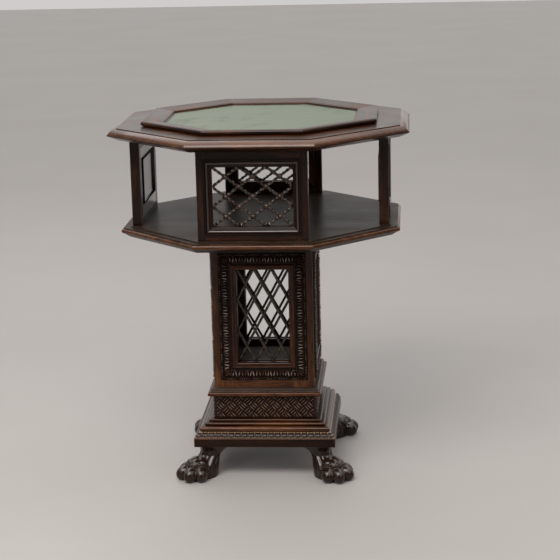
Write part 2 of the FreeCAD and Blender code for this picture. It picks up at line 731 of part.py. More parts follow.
border_chord = "(border_width - 2 * border_fillet)"
border_radius = f"(({border_chord} ^ 2 / 4 + border_rise ^ 2) / (2 * border_rise))"
border_half = f"({pedestal_open_half} + border_band)"
border_low = f"({pedestal_open_low} - border_band)"
border_high = f"({pedestal_open_high} + border_band)"
border = face_frame("carved_border", border_half, border_low, border_high, "pedestal_half", [
    ("0", "0"),
    ("border_width", "0"),
    ("border_width", "border_fillet"),
    ("border_width - border_fillet", "border_fillet", "border_width / 2",
     f"(border_fillet + border_rise - {border_radius})", 1),
    ("border_fillet", "border_fillet"),
    ("0", "border_fillet"),
], "border_width")
copies(border, {f"carved_border_{side}": turn for side, turn in SIDES.items()})

sight_half = f"({pedestal_open_half} - sight_width)"
sight_low = f"({pedestal_open_low} + sight_width)"
sight_high = f"({pedestal_open_high} - sight_width)"
sight = face_frame("sight_moulding", sight_half, sight_low, sight_high, "pedestal_half", [
    ("sight_width", "-sight_back"),
    ("sight_width", "-sight_recess"),
    ("sight_round", "-sight_recess", "sight_round", "-(sight_recess + sight_round)", 1),
    ("0", "-(sight_recess + sight_round)"),
    ("0", "-sight_back"),
], "sight_width")
copies(sight, {f"sight_moulding_{side}": turn for side, turn in SIDES.items()})

pedestal_depth = "(sight_back + lattice_space / 2)"
grille = lattice("pedestal_lattice", sight_half, sight_low, sight_high, "sight_width", "pedestal_half",
                 pedestal_depth, rosettes=False)
copies(grille, {f"pedestal_lattice_{side}": SIDES[side] for side in ("front", "back")})
plain = filling_board("pedestal_board", pedestal_open_half, pedestal_open_low, pedestal_open_high,
                      "pedestal_half", pedestal_depth)
copies(plain, {f"pedestal_board_{side}": SIDES[side] for side in ("right", "left")})
holder = face_frame("pedestal_bead", sight_half, sight_low, sight_high, "pedestal_half",
                    bead_profile("sight_width", "(sight_back + lattice_space)", "pedestal_frame_thickness"),
                    "sight_width")
copies(holder, {f"pedestal_bead_{side}": turn for side, turn in SIDES.items()})

# Swivel
def screw_outline(face, upward, gap="0"):
    """Half section of a countersunk screw whose head is flush with the level face."""
    sign = 1 if upward else -1
    return [
        ("0", face),
        (f"screw_head + {gap}", face),
        (f"screw_radius + {gap}", f"{face} + {sign} * screw_head_depth"),
        (f"screw_radius + {gap}", f"{face} + {sign} * screw_length"),
        ("0", f"{face} + {sign} * screw_length"),
    ]


def screw_holes(body, face, upward):
    sketch = sketch_on(body, "XZ_Plane", shift="screw_circle")
    draw(sketch, screw_outline(face, upward, "fit_gap / 2"))
    repeat(body, turned(body, sketch, "Groove"), 4)


def screws(name, face, upward):
    body = new_body(name)
    sketch = sketch_on(body, "XZ_Plane", shift="screw_circle")
    draw(sketch, screw_outline(face, upward))
    repeat(body, turned(body, sketch, "Revolution"), 4)
    keep(body, name)


def disc(name, low, thickness, radius, bore):
    body = new_body(name)
    sketch = sketch_on(body, "XY_Plane", low)
    draw_circle(sketch, "0", "0", radius)
    draw_circle(sketch, "0", "0", bore)
    pad(body, sketch, thickness)
    return body


cap = board("pedestal_cap", 4, "pedestal_half", cap_low, "cap_thickness")
seat = sketch_on(cap, "XY_Plane", cap_top)
draw_circle(seat, "0", "0", "spindle_radius + running_gap")
pocket(cap, seat, "spindle_in_cap")
screw_holes(cap, washer_low, upward=False)
keep(cap, "pedestal_cap")

plate_bore = "(spindle_radius + running_gap)"
base_plate = disc("swivel_base_plate", cap_top, "plate_thickness", "plate_radius", plate_bore)
screw_holes(base_plate, washer_low, upward=False)
keep(base_plate, "swivel_base_plate")
screws("base_plate_screws", washer_low, upward=False)

washer = disc("thrust_washer", washer_low, "washer_thickness", "washer_radius", "washer_bore")
keep(washer, "thrust_washer")

spindle_low = f"({cap_top} - spindle_in_cap)"
spindle_top = f"({shelf_low} + spindle_in_shelf)"
spindle = new_body("swivel_spindle")
pin = sketch_on(spindle, "XZ_Plane")
draw(pin, [
    ("0", spindle_low),
    ("spindle_radius", spindle_low),
    ("spindle_radius", f"{spindle_top} - spindle_nose"),
    ("spindle_radius - spindle_nose", spindle_top),
    ("0", spindle_top),
])
turned(spindle, pin, "Revolution")
keep(spindle, "swivel_spindle")

top_plate = disc("swivel_top_plate", top_plate_low, "plate_thickness", "plate_radius", plate_bore)
screw_holes(top_plate, top_plate_low, upward=True)
keep(top_plate, "swivel_top_plate")
screws("top_plate_screws", top_plate_low, upward=True)


# Shelf and top
def dowel_spots():
    """Middle of each dowel in plan."""
    line = f"({panel_face} - panel_thickness / 2)"
    spots = []
    for turn in SIDES.values():
        for side in (-1, 1):
            along = f"({side} * dowel_spread)"
            spots.append((f"{along} * cos({turn}) + {line} * sin({turn})",
                          f"{along} * sin({turn}) - {line} * cos({turn})"))
    return spots


def dowel_holes(body, level, upward):
    sketch = sketch_on(body, "XY_Plane", level)
    for x, y in dowel_spots():
        draw_circle(sketch, x, y, "dowel_radius")
    pocket(body, sketch, "dowel_in_board", upward)


shelf_flat = f"({shelf_side} - shelf_inset)"
shelf_fillet = f"({shelf_top} - shelf_quirk)"
shelf_line = f"({shelf_side} - shelf_nose)"
shelf_nose_top = f"({shelf_fillet} - shelf_drop)"
shelf_nose_middle = f"({shelf_nose_top} - shelf_nose)"
shelf = board("shelf_board", 8, shelf_side, shelf_low, "shelf_thickness", [
    [
        (shelf_flat, f"{shelf_top} + cut_margin"),
        (shelf_flat, shelf_fillet),
        (shelf_line, shelf_fillet),
        (shelf_line, shelf_nose_top, shelf_line, shelf_nose_middle, -1),
        (shelf_side, shelf_nose_middle),
        (f"{shelf_side} + cut_margin", shelf_nose_middle),
        (f"{shelf_side} + cut_margin", f"{shelf_top} + cut_margin"),
    ],
    [
        (shelf_side, shelf_nose_middle, shelf_line, shelf_nose_middle, -1),
        (shelf_line, f"{shelf_nose_middle} - shelf_nose"),
        (f"{shelf_side} - shelf_under_inset", shelf_low),
        (f"{shelf_side} - shelf_under_inset", f"{shelf_low} - cut_margin"),
        (f"{shelf_side} + cut_margin", f"{shelf_low} - cut_margin"),
        (f"{shelf_side} + cut_margin", shelf_nose_middle),
    ],
])
dowel_holes(shelf, shelf_top, upward=False)
socket = sketch_on(shelf, "XY_Plane", shelf_low)
draw_circle(socket, "0", "0", "spindle_radius + spindle_clear")
pocket(shelf, socket, "spindle_in_shelf + spindle_clear", upward=True)
screw_holes(shelf, top_plate_low, upward=True)
keep(shelf, "shelf_board")

top_flat = "(top_apothem - top_inset)"
ovolo_top = f"({top_face} - top_quirk)"
ovolo_radius = "((top_ovolo_run ^ 2 + top_ovolo_drop ^ 2) / (2 * top_ovolo_drop))"
top_lip_top = f"({ovolo_top} - top_ovolo_drop)"
top_lip_low = f"({top_lip_top} - top_lip)"
top = board("top_board", 8, "top_apothem", top_low, "top_thickness", [
    [
        (top_flat, f"{top_face} + cut_margin"),
        (top_flat, ovolo_top, top_flat, f"{ovolo_top} - {ovolo_radius}", -1),
        (f"{top_flat} + top_ovolo_run", top_lip_top),
        ("top_apothem + cut_margin", top_lip_top),
        ("top_apothem + cut_margin", f"{top_face} + cut_margin"),
    ],
    [
        ("top_apothem", top_lip_low),
        ("top_apothem - top_under_inset", top_low),
        ("top_apothem - top_under_inset", f"{top_low} - cut_margin"),
        ("top_apothem + cut_margin", f"{top_low} - cut_margin"),
        ("top_apothem + cut_margin", top_lip_low),
    ],
])
dowel_holes(top, top_low, upward=True)
keep(top, "top_board")

pegs = []
bores = []
line = f"-({panel_face} - panel_thickness / 2)"
for start, end in ((f"{shelf_top} - dowel_in_board", f"{shelf_top} + dowel_in_rail"),
                   (f"{top_low} - dowel_in_rail", f"{top_low} + dowel_in_board")):
    for x, y in dowel_spots():
        pegs.append(cylinder("peg", (x, y, start), "dowel_radius", f"{end} - ({start})"))
    for side in (-1, 1):
        base = (f"{side} * dowel_spread", line, start)
        bores.append(cylinder("bore", base, "dowel_radius", f"{end} - ({start})"))
keep(group("panel_dowels", pegs), "panel_dowels")

# Panels between shelf and top
panel_frame = tenoned_frame("panel_frame", panel_half, "panel_stile", shelf_top, top_low,
                            ("panel_bottom_rail", "panel_top_rail"), panel_face, "panel_thickness",
                            group("dowel_bores", bores))
copies(panel_frame, {f"panel_frame_{side}": turn for side, turn in SIDES.items()})

view_half = f"({panel_open_half} - moulding_reach)"
view_low = f"({panel_open_low} + moulding_reach)"
view_high = f"({panel_open_high} - moulding_reach)"
roll_start = "(moulding_reach - moulding_quirk)"
roll_end = f"({roll_start} - 2 * moulding_roll)"
moulding = face_frame("panel_moulding", view_half, view_low, view_high, panel_face, [
    ("moulding_reach", "0"),
    (moulding_width, "0"),
    (moulding_width, "moulding_fillet"),
    (roll_start, "moulding_fillet"),
    (roll_start, "-moulding_sink", f"({roll_start} - moulding_roll)", "-moulding_sink", 1),
    (roll_end, "-moulding_sink"),
    (roll_end, "-moulding_slope"),
    ("0", "-moulding_sight"),
    ("0", "-moulding_back"),
    ("moulding_reach", "-moulding_back"),
], moulding_width)
copies(moulding, {f"panel_moulding_{side}": turn for side, turn in SIDES.items()})

panel_depth = "(moulding_back + lattice_space / 2)"
twisted = lattice("panel_lattice", view_half, view_low, view_high, "moulding_reach", panel_face,
                  panel_depth, rosettes=True)
copies(twisted, {f"panel_lattice_{side}": SIDES[side] for side in ("front", "back")})
solid = filling_board("panel_board", panel_open_half, panel_open_low, panel_open_high,
                      panel_face, panel_depth)
copies(solid, {f"panel_board_{side}": SIDES[side] for side in ("right", "left")})
bead_front = "(moulding_back + lattice_space)"
bead_back = "(panel_thickness + bead_proud)"
bead = face_frame("panel_bead", view_half, view_low, view_high, panel_face,
                  bead_profile("moulding_reach", bead_front, bead_back), "moulding_reach")
copies(bead, {f"panel_bead_{side}": turn for side, turn in SIDES.items()})

# Raised frame and green panel
raised_inside = f"({raised_side} - raised_width)"
roll_centre = f"({raised_side} - raised_roll)"
edge_roll_low = f"({top_face} + raised_foot)"
edge_roll_high = f"({edge_roll_low} + 2 * raised_roll)"
inlay_top = f"({top_face} + inlay_thickness)"
bead_edge = f"({raised_inside} + raised_ledge + raised_bead)"
bead_foot = f"({inlay_top} + 2 * raised_quirk)"
raised = ring("raised_frame", 8, raised_inside, raised_side, [
    (raised_inside, top_face),
    (roll_centre, top_face),
    (roll_centre, edge_roll_low, roll_centre, f"{edge_roll_low} + raised_roll", 1),
    (roll_centre, edge_roll_high),
    (f"{roll_centre} - raised_quirk", f"{edge_roll_high} - raised_quirk"),
    (f"{roll_centre} - 2 * raised_quirk", edge_roll_high),
    (f"{raised_inside} + raised_step", f"{edge_roll_high} - raised_fall"),
    (f"{raised_inside} + raised_step", f"{bead_foot} + raised_bead"),
    (bead_edge, f"{bead_foot} + raised_bead", bead_edge, bead_foot, 1),
    (f"{raised_inside} + raised_ledge", bead_foot),
    (f"{raised_inside} + raised_ledge", f"{inlay_top} + raised_quirk"),
    (raised_inside, f"{inlay_top} + raised_quirk"),
])
keep(raised, "raised_frame")

inlay = board("green_panel", 8, f"({raised_inside} - fit_gap)", top_face, "inlay_thickness")
keep(inlay, "green_panel")

# Every object and every sub-part is sound before anything is written
doc.recompute()
for item in doc.Objects:
    if "Invalid" in item.State or "Error" in item.State:
        raise RuntimeError(f"{item.Label} failed: {item.State}")
for piece in subparts:
    if piece.Shape.isNull() or not piece.Shape.isValid() or not piece.Shape.Solids:
        raise RuntimeError(f"{piece.Label} has no sound shape")

os.makedirs("parts", exist_ok=True)
for piece in subparts:
    piece.Shape.exportStep(f"parts/{piece.Label}.step")
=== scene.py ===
"""Octagonal two-tier book table: eased and carved pieces, finishes, floor, light and camera."""
import json
import math
from itertools import product
import bpy
import bmesh
from mathutils import Matrix, Vector, noise


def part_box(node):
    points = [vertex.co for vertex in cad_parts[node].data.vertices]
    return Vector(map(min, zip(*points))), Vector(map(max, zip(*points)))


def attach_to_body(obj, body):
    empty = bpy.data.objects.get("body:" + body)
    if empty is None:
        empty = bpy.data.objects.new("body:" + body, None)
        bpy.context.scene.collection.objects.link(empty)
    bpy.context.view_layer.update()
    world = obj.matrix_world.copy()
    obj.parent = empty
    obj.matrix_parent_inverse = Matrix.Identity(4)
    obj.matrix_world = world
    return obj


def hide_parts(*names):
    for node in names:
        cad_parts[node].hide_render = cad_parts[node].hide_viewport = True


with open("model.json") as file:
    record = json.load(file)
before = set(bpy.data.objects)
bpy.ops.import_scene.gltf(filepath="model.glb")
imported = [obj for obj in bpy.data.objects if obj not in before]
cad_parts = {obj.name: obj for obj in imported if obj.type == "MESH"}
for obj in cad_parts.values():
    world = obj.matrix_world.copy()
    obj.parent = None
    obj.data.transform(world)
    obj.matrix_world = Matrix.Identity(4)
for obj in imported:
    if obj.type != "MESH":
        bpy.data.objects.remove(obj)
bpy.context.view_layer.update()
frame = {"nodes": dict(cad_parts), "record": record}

MM = 0.001
STAND = "stand"
TOP = "revolving_top"
SIDES = ("front", "right", "back", "left")
RIGHT = Vector((1, 0, 0))
BACK = Vector((0, 1, 0))
UP = Vector((0, 0, 1))
CUT_GRIP = 1e-7
MERGE_GRIP = 1e-6
GRAIN_SHIFTS = (12.9, 78.2, 37.7)
SLOTS = {part["node"]: part["material_slot"] for part in frame["record"]["subparts"]}


# Small geometry helpers


def mm(*values):
    """A point given in millimetres."""
    return Vector(values) * MM


def quarter(turns):
    """Turn about the table's axis, in quarter turns from the front."""
    return Matrix.Rotation(math.radians(90) * turns, 4, "Z")


def smoothstep(low, high, value):
    part = min(1.0, max(0.0, (value - low) / (high - low)))
    return part * part * (3 - 2 * part)


def fill_holes(bm):
    open_edges = [edge for edge in bm.edges if edge.is_boundary]
    bmesh.ops.holes_fill(bm, edges=open_edges, sides=0)


def slice_off(bm, point, normal):
    """Take away what lies beyond a plane."""
    bmesh.ops.bisect_plane(
        bm, geom=bm.verts[:] + bm.edges[:] + bm.faces[:], dist=CUT_GRIP,
        plane_co=point, plane_no=normal, clear_outer=True,
    )


def cut(bm, point, normal):
    """Take away what lies beyond a plane and close the cut."""
    slice_off(bm, point, normal)
    fill_holes(bm)


def append(bm, other, turn=Matrix.Identity(4)):
    """Copy another bmesh into this one, turned, and give back the number of its first vertex."""
    first = len(bm.verts)
    carrier = bpy.data.meshes.new("carrier")
    other.to_mesh(carrier)
    carrier.transform(turn)
    bm.from_mesh(carrier)
    bpy.data.meshes.remove(carrier)
    return first


def run(steps, rows, place):
    """A closed tube from a grid: place(along, row) gives each point, and the last row meets the first."""
    bm = bmesh.new()
    bmesh.ops.create_grid(bm, x_segments=steps, y_segments=rows, size=0.5)
    for vert in bm.verts:
        vert.co = place(vert.co.x + 0.5, round((vert.co.y + 0.5) * rows))
    bmesh.ops.remove_doubles(bm, verts=bm.verts, dist=MERGE_GRIP)
    fill_holes(bm)
    bmesh.ops.recalc_face_normals(bm, faces=bm.faces)
    return bm


def verts_from(bm, first):
    bm.verts.ensure_lookup_table()
    return bm.verts[first:]


def lay_grain(bm, first, along, seed):
    """Write each vertex's place along and across the wood's grain, shifted so that no two boards match."""
    layer = bm.verts.layers.float_vector.get("grain") or bm.verts.layers.float_vector.new("grain")
    side = along.orthogonal().normalized()
    depth = along.cross(side)
    shift = Vector([math.sin(seed * rate) for rate in GRAIN_SHIFTS])
    for vert in verts_from(bm, first):
        vert[layer] = Vector((vert.co.dot(along), vert.co.dot(side), vert.co.dot(depth))) + shift


def lay_relief(bm, gain, passes):
    """Write how far each vertex stands out (1) or lies in a hollow (0), from the bend of the surface."""
    layer = bm.verts.layers.float.new("relief")
    for vert in bm.verts:
        around = [edge.other_vert(vert).co for edge in vert.link_edges]
        middle = sum(around, Vector()) / len(around)
        size = sum((spot - vert.co).length for spot in around) / len(around)
        vert[layer] = min(1.0, max(0.0, 0.5 - gain * (middle - vert.co).dot(vert.normal) / size))
    for _ in range(passes):
        fresh = {}
        for vert in bm.verts:
            around = [edge.other_vert(vert)[layer] for edge in vert.link_edges]
            fresh[vert] = (vert[layer] + sum(around)) / (1 + len(around))
        for vert, value in fresh.items():
            vert[layer] = value


def lay_height(bm, face, low, high):
    """Write relief from how far each vertex stands in front of a front-facing plane."""
    layer = bm.verts.layers.float.new("relief")
    for vert in bm.verts:
        vert[layer] = smoothstep(low, high, -face - vert.co.y)


def attach(name, bm, body, slot, materials, nodes=(), crease=40):
    """Make the piece, put it on its CAD body, and hide the CAD nodes it takes the place of."""
    for face in bm.faces:
        face.smooth = True
    for edge in bm.edges:
        if len(edge.link_faces) == 2:
            edge.smooth = edge.calc_face_angle(0) < math.radians(crease)
    mesh = bpy.data.meshes.new(name)
    bm.to_mesh(mesh)
    bm.free()
    for material in materials:
        mesh.materials.append(material)
    piece = bpy.data.objects.new(name, mesh)
    bpy.context.scene.collection.objects.link(piece)
    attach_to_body(piece, body)
    if nodes:
        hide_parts(*nodes)
    return piece


# Finishes


class Finish:
    """A material and the nodes that make it."""

    def __init__(self, name):
        self.material = bpy.data.materials.new(name)
        self.material.use_nodes = True
        self.tree = self.material.node_tree
        self.shader = self.tree.nodes["Principled BSDF"]

    def node(self, kind, **settings):
        made = self.tree.nodes.new("ShaderNode" + kind)
        for key, value in settings.items():
            setattr(made, key, value)
        return made

    def feed(self, source, target):
        if isinstance(source, bpy.types.NodeSocket):
            self.tree.links.new(source, target)
        else:
            target.default_value = source

    def attribute(self, name, output):
        return self.node("Attribute", attribute_name=name).outputs[output]

    def place(self):
        return self.node("TexCoord").outputs["Object"]

    def stretch(self, vector, scale):
        made = self.node("Mapping")
        self.feed(vector, made.inputs["Vector"])
        made.inputs["Scale"].default_value = scale
        return made.outputs[0]

    def noise(self, vector, scale=1.0, detail=3.0, distortion=0.0):
        made = self.node("TexNoise")
        self.feed(vector, made.inputs["Vector"])
        made.inputs["Scale"].default_value = scale
        made.inputs["Detail"].default_value = detail
        made.inputs["Distortion"].default_value = distortion
        return made.outputs[0]

    def span(self, value, low, high, to_low, to_high):
        made = self.node("MapRange")
        for number, source in enumerate((value, low, high, to_low, to_high)):
            self.feed(source, made.inputs[number])
        return made.outputs[0]

    def reckon(self, operation, first, second):
        made = self.node("Math", operation=operation)
        self.feed(first, made.inputs[0])
        self.feed(second, made.inputs[1])
        return made.outputs[0]

    def add(self, first, second):
        return self.reckon("ADD", first, second)

    def times(self, first, second):
        return self.reckon("MULTIPLY", first, second)

    def ramp(self, value, *stops):
        made = self.node("ValToRGB")
        self.feed(value, made.inputs[0])
        elements = made.color_ramp.elements
        while len(elements) < len(stops):
            elements.new(1.0)
        for element, (position, colour) in zip(elements, stops):
            element.position = position
            element.color = (*colour, 1)
        return made.outputs[0]

    def mix(self, factor, first, second):
        made = self.node("Mix", data_type="RGBA")
        self.feed(factor, made.inputs[0])
        for source, target in ((first, made.inputs[6]), (second, made.inputs[7])):
            self.feed(source if isinstance(source, bpy.types.NodeSocket) else (*source, 1), target)
        return made.outputs[2]

    def bump(self, height, strength, distance):
        made = self.node("Bump")
        made.inputs["Strength"].default_value = strength
        made.inputs["Distance"].default_value = distance
        self.feed(height, made.inputs["Height"])
        self.feed(made.outputs[0], self.shader.inputs["Normal"])

    def surface(self, colour, roughness, metallic=0.0, specular=0.5, coat=0.0, coat_roughness=0.1):
        self.feed(colour, self.shader.inputs["Base Color"])
        self.feed(roughness, self.shader.inputs["Roughness"])
        self.shader.inputs["Metallic"].default_value = metallic
        self.shader.inputs["Specular IOR Level"].default_value = specular
        self.shader.inputs["Coat Weight"].default_value = coat
        self.shader.inputs["Coat Roughness"].default_value = coat_roughness
        return self.material


FIGURE_STRETCH = (5, 70, 70)
PORE_STRETCH = (40, 1100, 1100)
FLECK_STRETCH = (45, 230, 230)
STREAK_STRETCH = (60, 60, 8)
FIGURE_SHARE = 0.65
CLOUD_SHARE = 0.35
TONES = (0.34, 0.5, 0.66)
CLOUDED = (0.3, 0.7)
PORE_COLOUR = (0.004, 0.002, 0.001)
# Painted shade laid into the hollows of carving
HOLLOW_SHADE_COLOUR = (0.006, 0.0022, 0.0009)
HOLLOW_MATT = 0.6
VARNISH_ROUGHNESS = 0.14

# How an effect grows: the value where it starts, where it ends, and its strength at both
FLECKED = (0.48, 0.64, 0, 0.6)
POROUS = (0.52, 0.62, 0, 0.5)
# Painted shade in hollows and painted highlight on crests, both read from the relief attribute
HOLLOW_SHADING = (0.15, 0.5, 0.9, 0)
CREST_HIGHLIGHTING = (0.8, 1.0, 0, 0.85)

# Strength and depth of uneven faces
PORE_BUMP = (0.12, 0.0003)
DENT_BUMP = (0.25, 0.0006)
PEBBLE_BUMP = (0.2, 0.0004)


def wood(name, dark, middle, light, crest_highlight=None, rough=(0.22, 0.36), specular=0.25, coat=0.25):
    """Varnished walnut, figured along its grain; on carving, painted shade darkens the hollows and a
    painted highlight lightens the crests.
    """
    look = Finish(name)
    grain = look.attribute("grain", "Vector")
    figure = look.noise(look.stretch(grain, FIGURE_STRETCH), detail=5, distortion=0.7)
    pores = look.noise(look.stretch(grain, PORE_STRETCH), detail=2)
    flecks = look.noise(look.stretch(grain, FLECK_STRETCH), detail=2)
    cloud = look.noise(grain, scale=9, detail=3)
    tone = look.add(look.times(figure, FIGURE_SHARE), look.times(cloud, CLOUD_SHARE))
    colour = look.ramp(tone, *zip(TONES, (dark, middle, light)))
    colour = look.mix(look.span(flecks, *FLECKED), colour, dark)
    colour = look.mix(look.span(pores, *POROUS), colour, PORE_COLOUR)
    roughness = look.span(cloud, *CLOUDED, *rough)
    # Carving: painted shade darkens the hollows and a painted highlight lightens the crests
    if crest_highlight:
        relief = look.attribute("relief", "Fac")
        hollow = look.span(relief, *HOLLOW_SHADING)
        colour = look.mix(hollow, colour, HOLLOW_SHADE_COLOUR)
        colour = look.mix(look.span(relief, *CREST_HIGHLIGHTING), colour, crest_highlight)
        roughness = look.add(roughness, look.times(hollow, HOLLOW_MATT))
    look.bump(look.add(pores, look.times(figure, 0.5)), *PORE_BUMP)
    return look.surface(colour, roughness, specular=specular, coat=coat, coat_roughness=VARNISH_ROUGHNESS)


METAL_TONES = (0.35, 0.65)
METAL_WEAR = 0.2


def metal(name, dark, light, metallic, roughness, hammer):
    """Worn metal: cloudy tone and a slightly uneven face."""
    look = Finish(name)
    place = look.place()
    cloud = look.noise(place, scale=90, detail=4)
    dents = look.noise(place, scale=hammer, detail=1)
    colour = look.ramp(cloud, *zip(METAL_TONES, (dark, light)))
    look.bump(dents, *DENT_BUMP)
    worn = look.span(cloud, *CLOUDED, roughness, roughness + METAL_WEAR)
    return look.surface(colour, worn, metallic=metallic)


def plain_wood(name, dark, light):
    """Unvarnished wood of the hidden dowels and blocks and of the board inside the pedestal."""
    look = Finish(name)
    streak = look.noise(look.stretch(look.place(), STREAK_STRETCH), detail=4)
    return look.surface(look.ramp(streak, *zip(CLOUDED, (dark, light))), 0.7, specular=0.2)


LEATHER_GREENS = ((0.106, 0.133, 0.094), (0.141, 0.167, 0.123))
CREASE_SHADE_GREEN = (0.05, 0.071, 0.048)
STAIN_GREEN = (0.035, 0.06, 0.03)
CREASE_WIDTH = 0.04
CREASE_SHADING = (0.42, 0.62, 0, 0.8)
STAINED = (0.52, 0.66, 0, 1)
STAIN_STRENGTH = 0.75


def leather():
    """Faded green leather with faint creases darkened by painted shade, stained darker towards one edge."""
    look = Finish("green_leather")
    place = look.place()
    cloud = look.noise(place, scale=11, detail=4)
    pebble = look.noise(place, scale=900, detail=1)
    crease = look.noise(place, scale=6.5, detail=3, distortion=1.2)
    patch = look.noise(place, scale=8, detail=2)
    vein = look.reckon("ABSOLUTE", look.reckon("SUBTRACT", crease, 0.5), 0)
    colour = look.ramp(cloud, *zip(CLOUDED, LEATHER_GREENS))
    # Painted shade: darker green along the creases
    streak = look.times(look.span(vein, 0.0, CREASE_WIDTH, 1, 0), look.span(patch, *CREASE_SHADING))
    colour = look.mix(streak, colour, CREASE_SHADE_GREEN)
    spots = look.noise(place, scale=38, detail=5)
    edge = look.attribute("edge", "Fac")
    stain = look.times(look.span(spots, *STAINED), edge)
    colour = look.mix(look.times(stain, STAIN_STRENGTH), colour, STAIN_GREEN)
    look.bump(look.add(pebble, look.span(vein, 0, CREASE_WIDTH, -1, 0)), *PEBBLE_BUMP)
    return look.surface(colour, look.span(cloud, *CLOUDED, 0.45, 0.6), specular=0.22)


WALNUT = wood(
    "walnut", (0.005, 0.0012, 0.0003), (0.014, 0.0037, 0.0009), (0.056, 0.017, 0.0044),
    rough=(0.28, 0.42), specular=0.1,
)
DARK_WALNUT = wood(
    "dark_walnut", (0.0038, 0.0009, 0.0002), (0.0095, 0.0025, 0.0006), (0.026, 0.0078, 0.0019),
    rough=(0.28, 0.42), specular=0.06, coat=0.2,
)
# Lighter, redder walnut for the pedestal frames and the step nose: painted light, a lit copy of walnut
LIT_RED_WALNUT = wood(
    "lit_red_walnut", (0.014, 0.0038, 0.0009), (0.046, 0.0136, 0.0033), (0.13, 0.043, 0.0115),
    rough=(0.28, 0.42), specular=0.08,
)
TABLE_WALNUT = wood(
    "table_walnut", (0.012, 0.0031, 0.0008), (0.036, 0.0102, 0.0025), (0.105, 0.033, 0.0088),
    rough=(0.28, 0.42), specular=0.1,
)
# Brighter walnut for the top's edge rolls: painted light on the lip, a lit copy of walnut
LIT_LIP_WALNUT = wood(
    "lit_lip_walnut", (0.05, 0.0145, 0.0037), (0.08, 0.0245, 0.0063), (0.118, 0.038, 0.0102),
    specular=0.12, coat=0.4,
)
# Edge walnut: partly real wear on the eased arrises, partly painted light on the rolls, a lit copy of
# walnut
WORN_AND_LIT = wood(
    "worn_and_lit_walnut", (0.026, 0.0075, 0.0018), (0.071, 0.0222, 0.0055), (0.138, 0.048, 0.0138),
    specular=0.1, coat=0.32,
)
# Greyed walnut for the shelf: painted sheen, its pale grey colour stands in for the reflection of the
# bright surroundings
SHEEN_GREY_WALNUT = wood(
    "sheen_grey_walnut", (0.018, 0.0112, 0.0078), (0.034, 0.0225, 0.0165), (0.054, 0.0375, 0.029),
    rough=(0.28, 0.38), specular=0.03, coat=0.0,
)
BOARD_WALNUT = wood(
    "board_walnut", (0.006, 0.0015, 0.0004), (0.016, 0.0043, 0.0011), (0.04, 0.0118, 0.0031),
    rough=(0.18, 0.28), specular=0.2, coat=0.6,
)
# Near-black walnut for the bead round the panels' fields: painted shade
SHADE_DARK_WALNUT = wood(
    "shade_dark_walnut", (0.003, 0.0014, 0.0008), (0.006, 0.0028, 0.0016), (0.01, 0.0048, 0.0028),
    rough=(0.6, 0.75), specular=0.04, coat=0.0,
)
# Carved walnut of the borders: its crest colour is a painted highlight on the strokes and dots, and its
# hollows take painted shade
CARVED = wood(
    "carved_walnut", (0.009, 0.003, 0.001), (0.024, 0.0082, 0.003), (0.05, 0.018, 0.007),
    crest_highlight=(0.36, 0.29, 0.255), rough=(0.2, 0.3), specular=0.04, coat=0.22,
)
# Woven walnut of the frieze: its crest colour is a painted highlight along the strands, and the gaps
# between take painted shade
WOVEN = wood(
    "woven_walnut", (0.013, 0.0044, 0.0015), (0.031, 0.0108, 0.004), (0.052, 0.0188, 0.0072),
    crest_highlight=(0.27, 0.18, 0.13), rough=(0.2, 0.3), specular=0.05, coat=0.3,
)
POLISHED = wood(
    "polished_walnut", (0.007, 0.0018, 0.0005), (0.0185, 0.005, 0.0013), (0.042, 0.0122, 0.0034),
    rough=(0.1, 0.2), specular=0.4, coat=1.0,
)
# Leaf walnut of the plinth moulding: its crest colour is a painted highlight on the leaves, and its hollows
# take painted shade
LEAF_WALNUT = wood(
    "leaf_walnut", (0.007, 0.0023, 0.0008), (0.021, 0.0073, 0.0026), (0.05, 0.0183, 0.0073),
    crest_highlight=(0.46, 0.31, 0.21), rough=(0.18, 0.28), specular=0.05, coat=0.4,
)
# Pale grey walnut for the step board: painted light inside the pedestal and painted sheen on the tread
PALE_LIT_WALNUT = wood(
    "pale_lit_walnut", (0.026, 0.019, 0.015), (0.046, 0.035, 0.028), (0.07, 0.054, 0.043),
    rough=(0.55, 0.7), specular=0.25, coat=0.0,
)
# Paw walnut: its crest colour is a painted highlight on the bulges, and the creases between toes and
# knuckles take painted shade
PAW = wood(
    "paw_walnut", (0.009, 0.0034, 0.0016), (0.018, 0.0068, 0.0032), (0.03, 0.0115, 0.0056),
    crest_highlight=(0.042, 0.0165, 0.008), rough=(0.2, 0.3), specular=0.2, coat=0.3,
)
IRON = metal("lattice_iron", (0.03, 0.0225, 0.018), (0.085, 0.066, 0.054), 0.65, 0.13, 260)
BOSS = metal("boss_iron", (0.04, 0.023, 0.017), (0.085, 0.052, 0.038), 0.6, 0.28, 400)
PLATE = metal("swivel_iron", (0.06, 0.058, 0.055), (0.14, 0.135, 0.13), 0.9, 0.38, 150)
BRASS = metal("washer_brass", (0.3, 0.2, 0.07), (0.5, 0.36, 0.14), 1.0, 0.3, 200)
BEECH = plain_wood("dowel_beech", (0.3, 0.19, 0.1), (0.42, 0.28, 0.16))
# Pale board colour inside the pedestal: painted light that stands in for light reaching it through the
# lattice
PALE_LIT_BOARD = plain_wood("pale_lit_board", (0.066, 0.053, 0.042), (0.11, 0.09, 0.073))
BARE_WALNUT = plain_wood("bare_walnut", (0.035, 0.016, 0.009), (0.07, 0.033, 0.018))
LEATHER = leather()


# Plain joinery: every CAD solid again, with its arrises eased and the grain along its length

WELD = 2e-6
EASE = 0.9 * MM
SHARP = math.radians(35)
GENTLE = math.radians(0.8)
NARROW = 4.5 * MM
FLAT = math.radians(0.3)
STRAIGHT = (RIGHT, BACK, UP)
SLANTED = ((RIGHT + BACK).normalized(), (RIGHT - BACK).normalized())


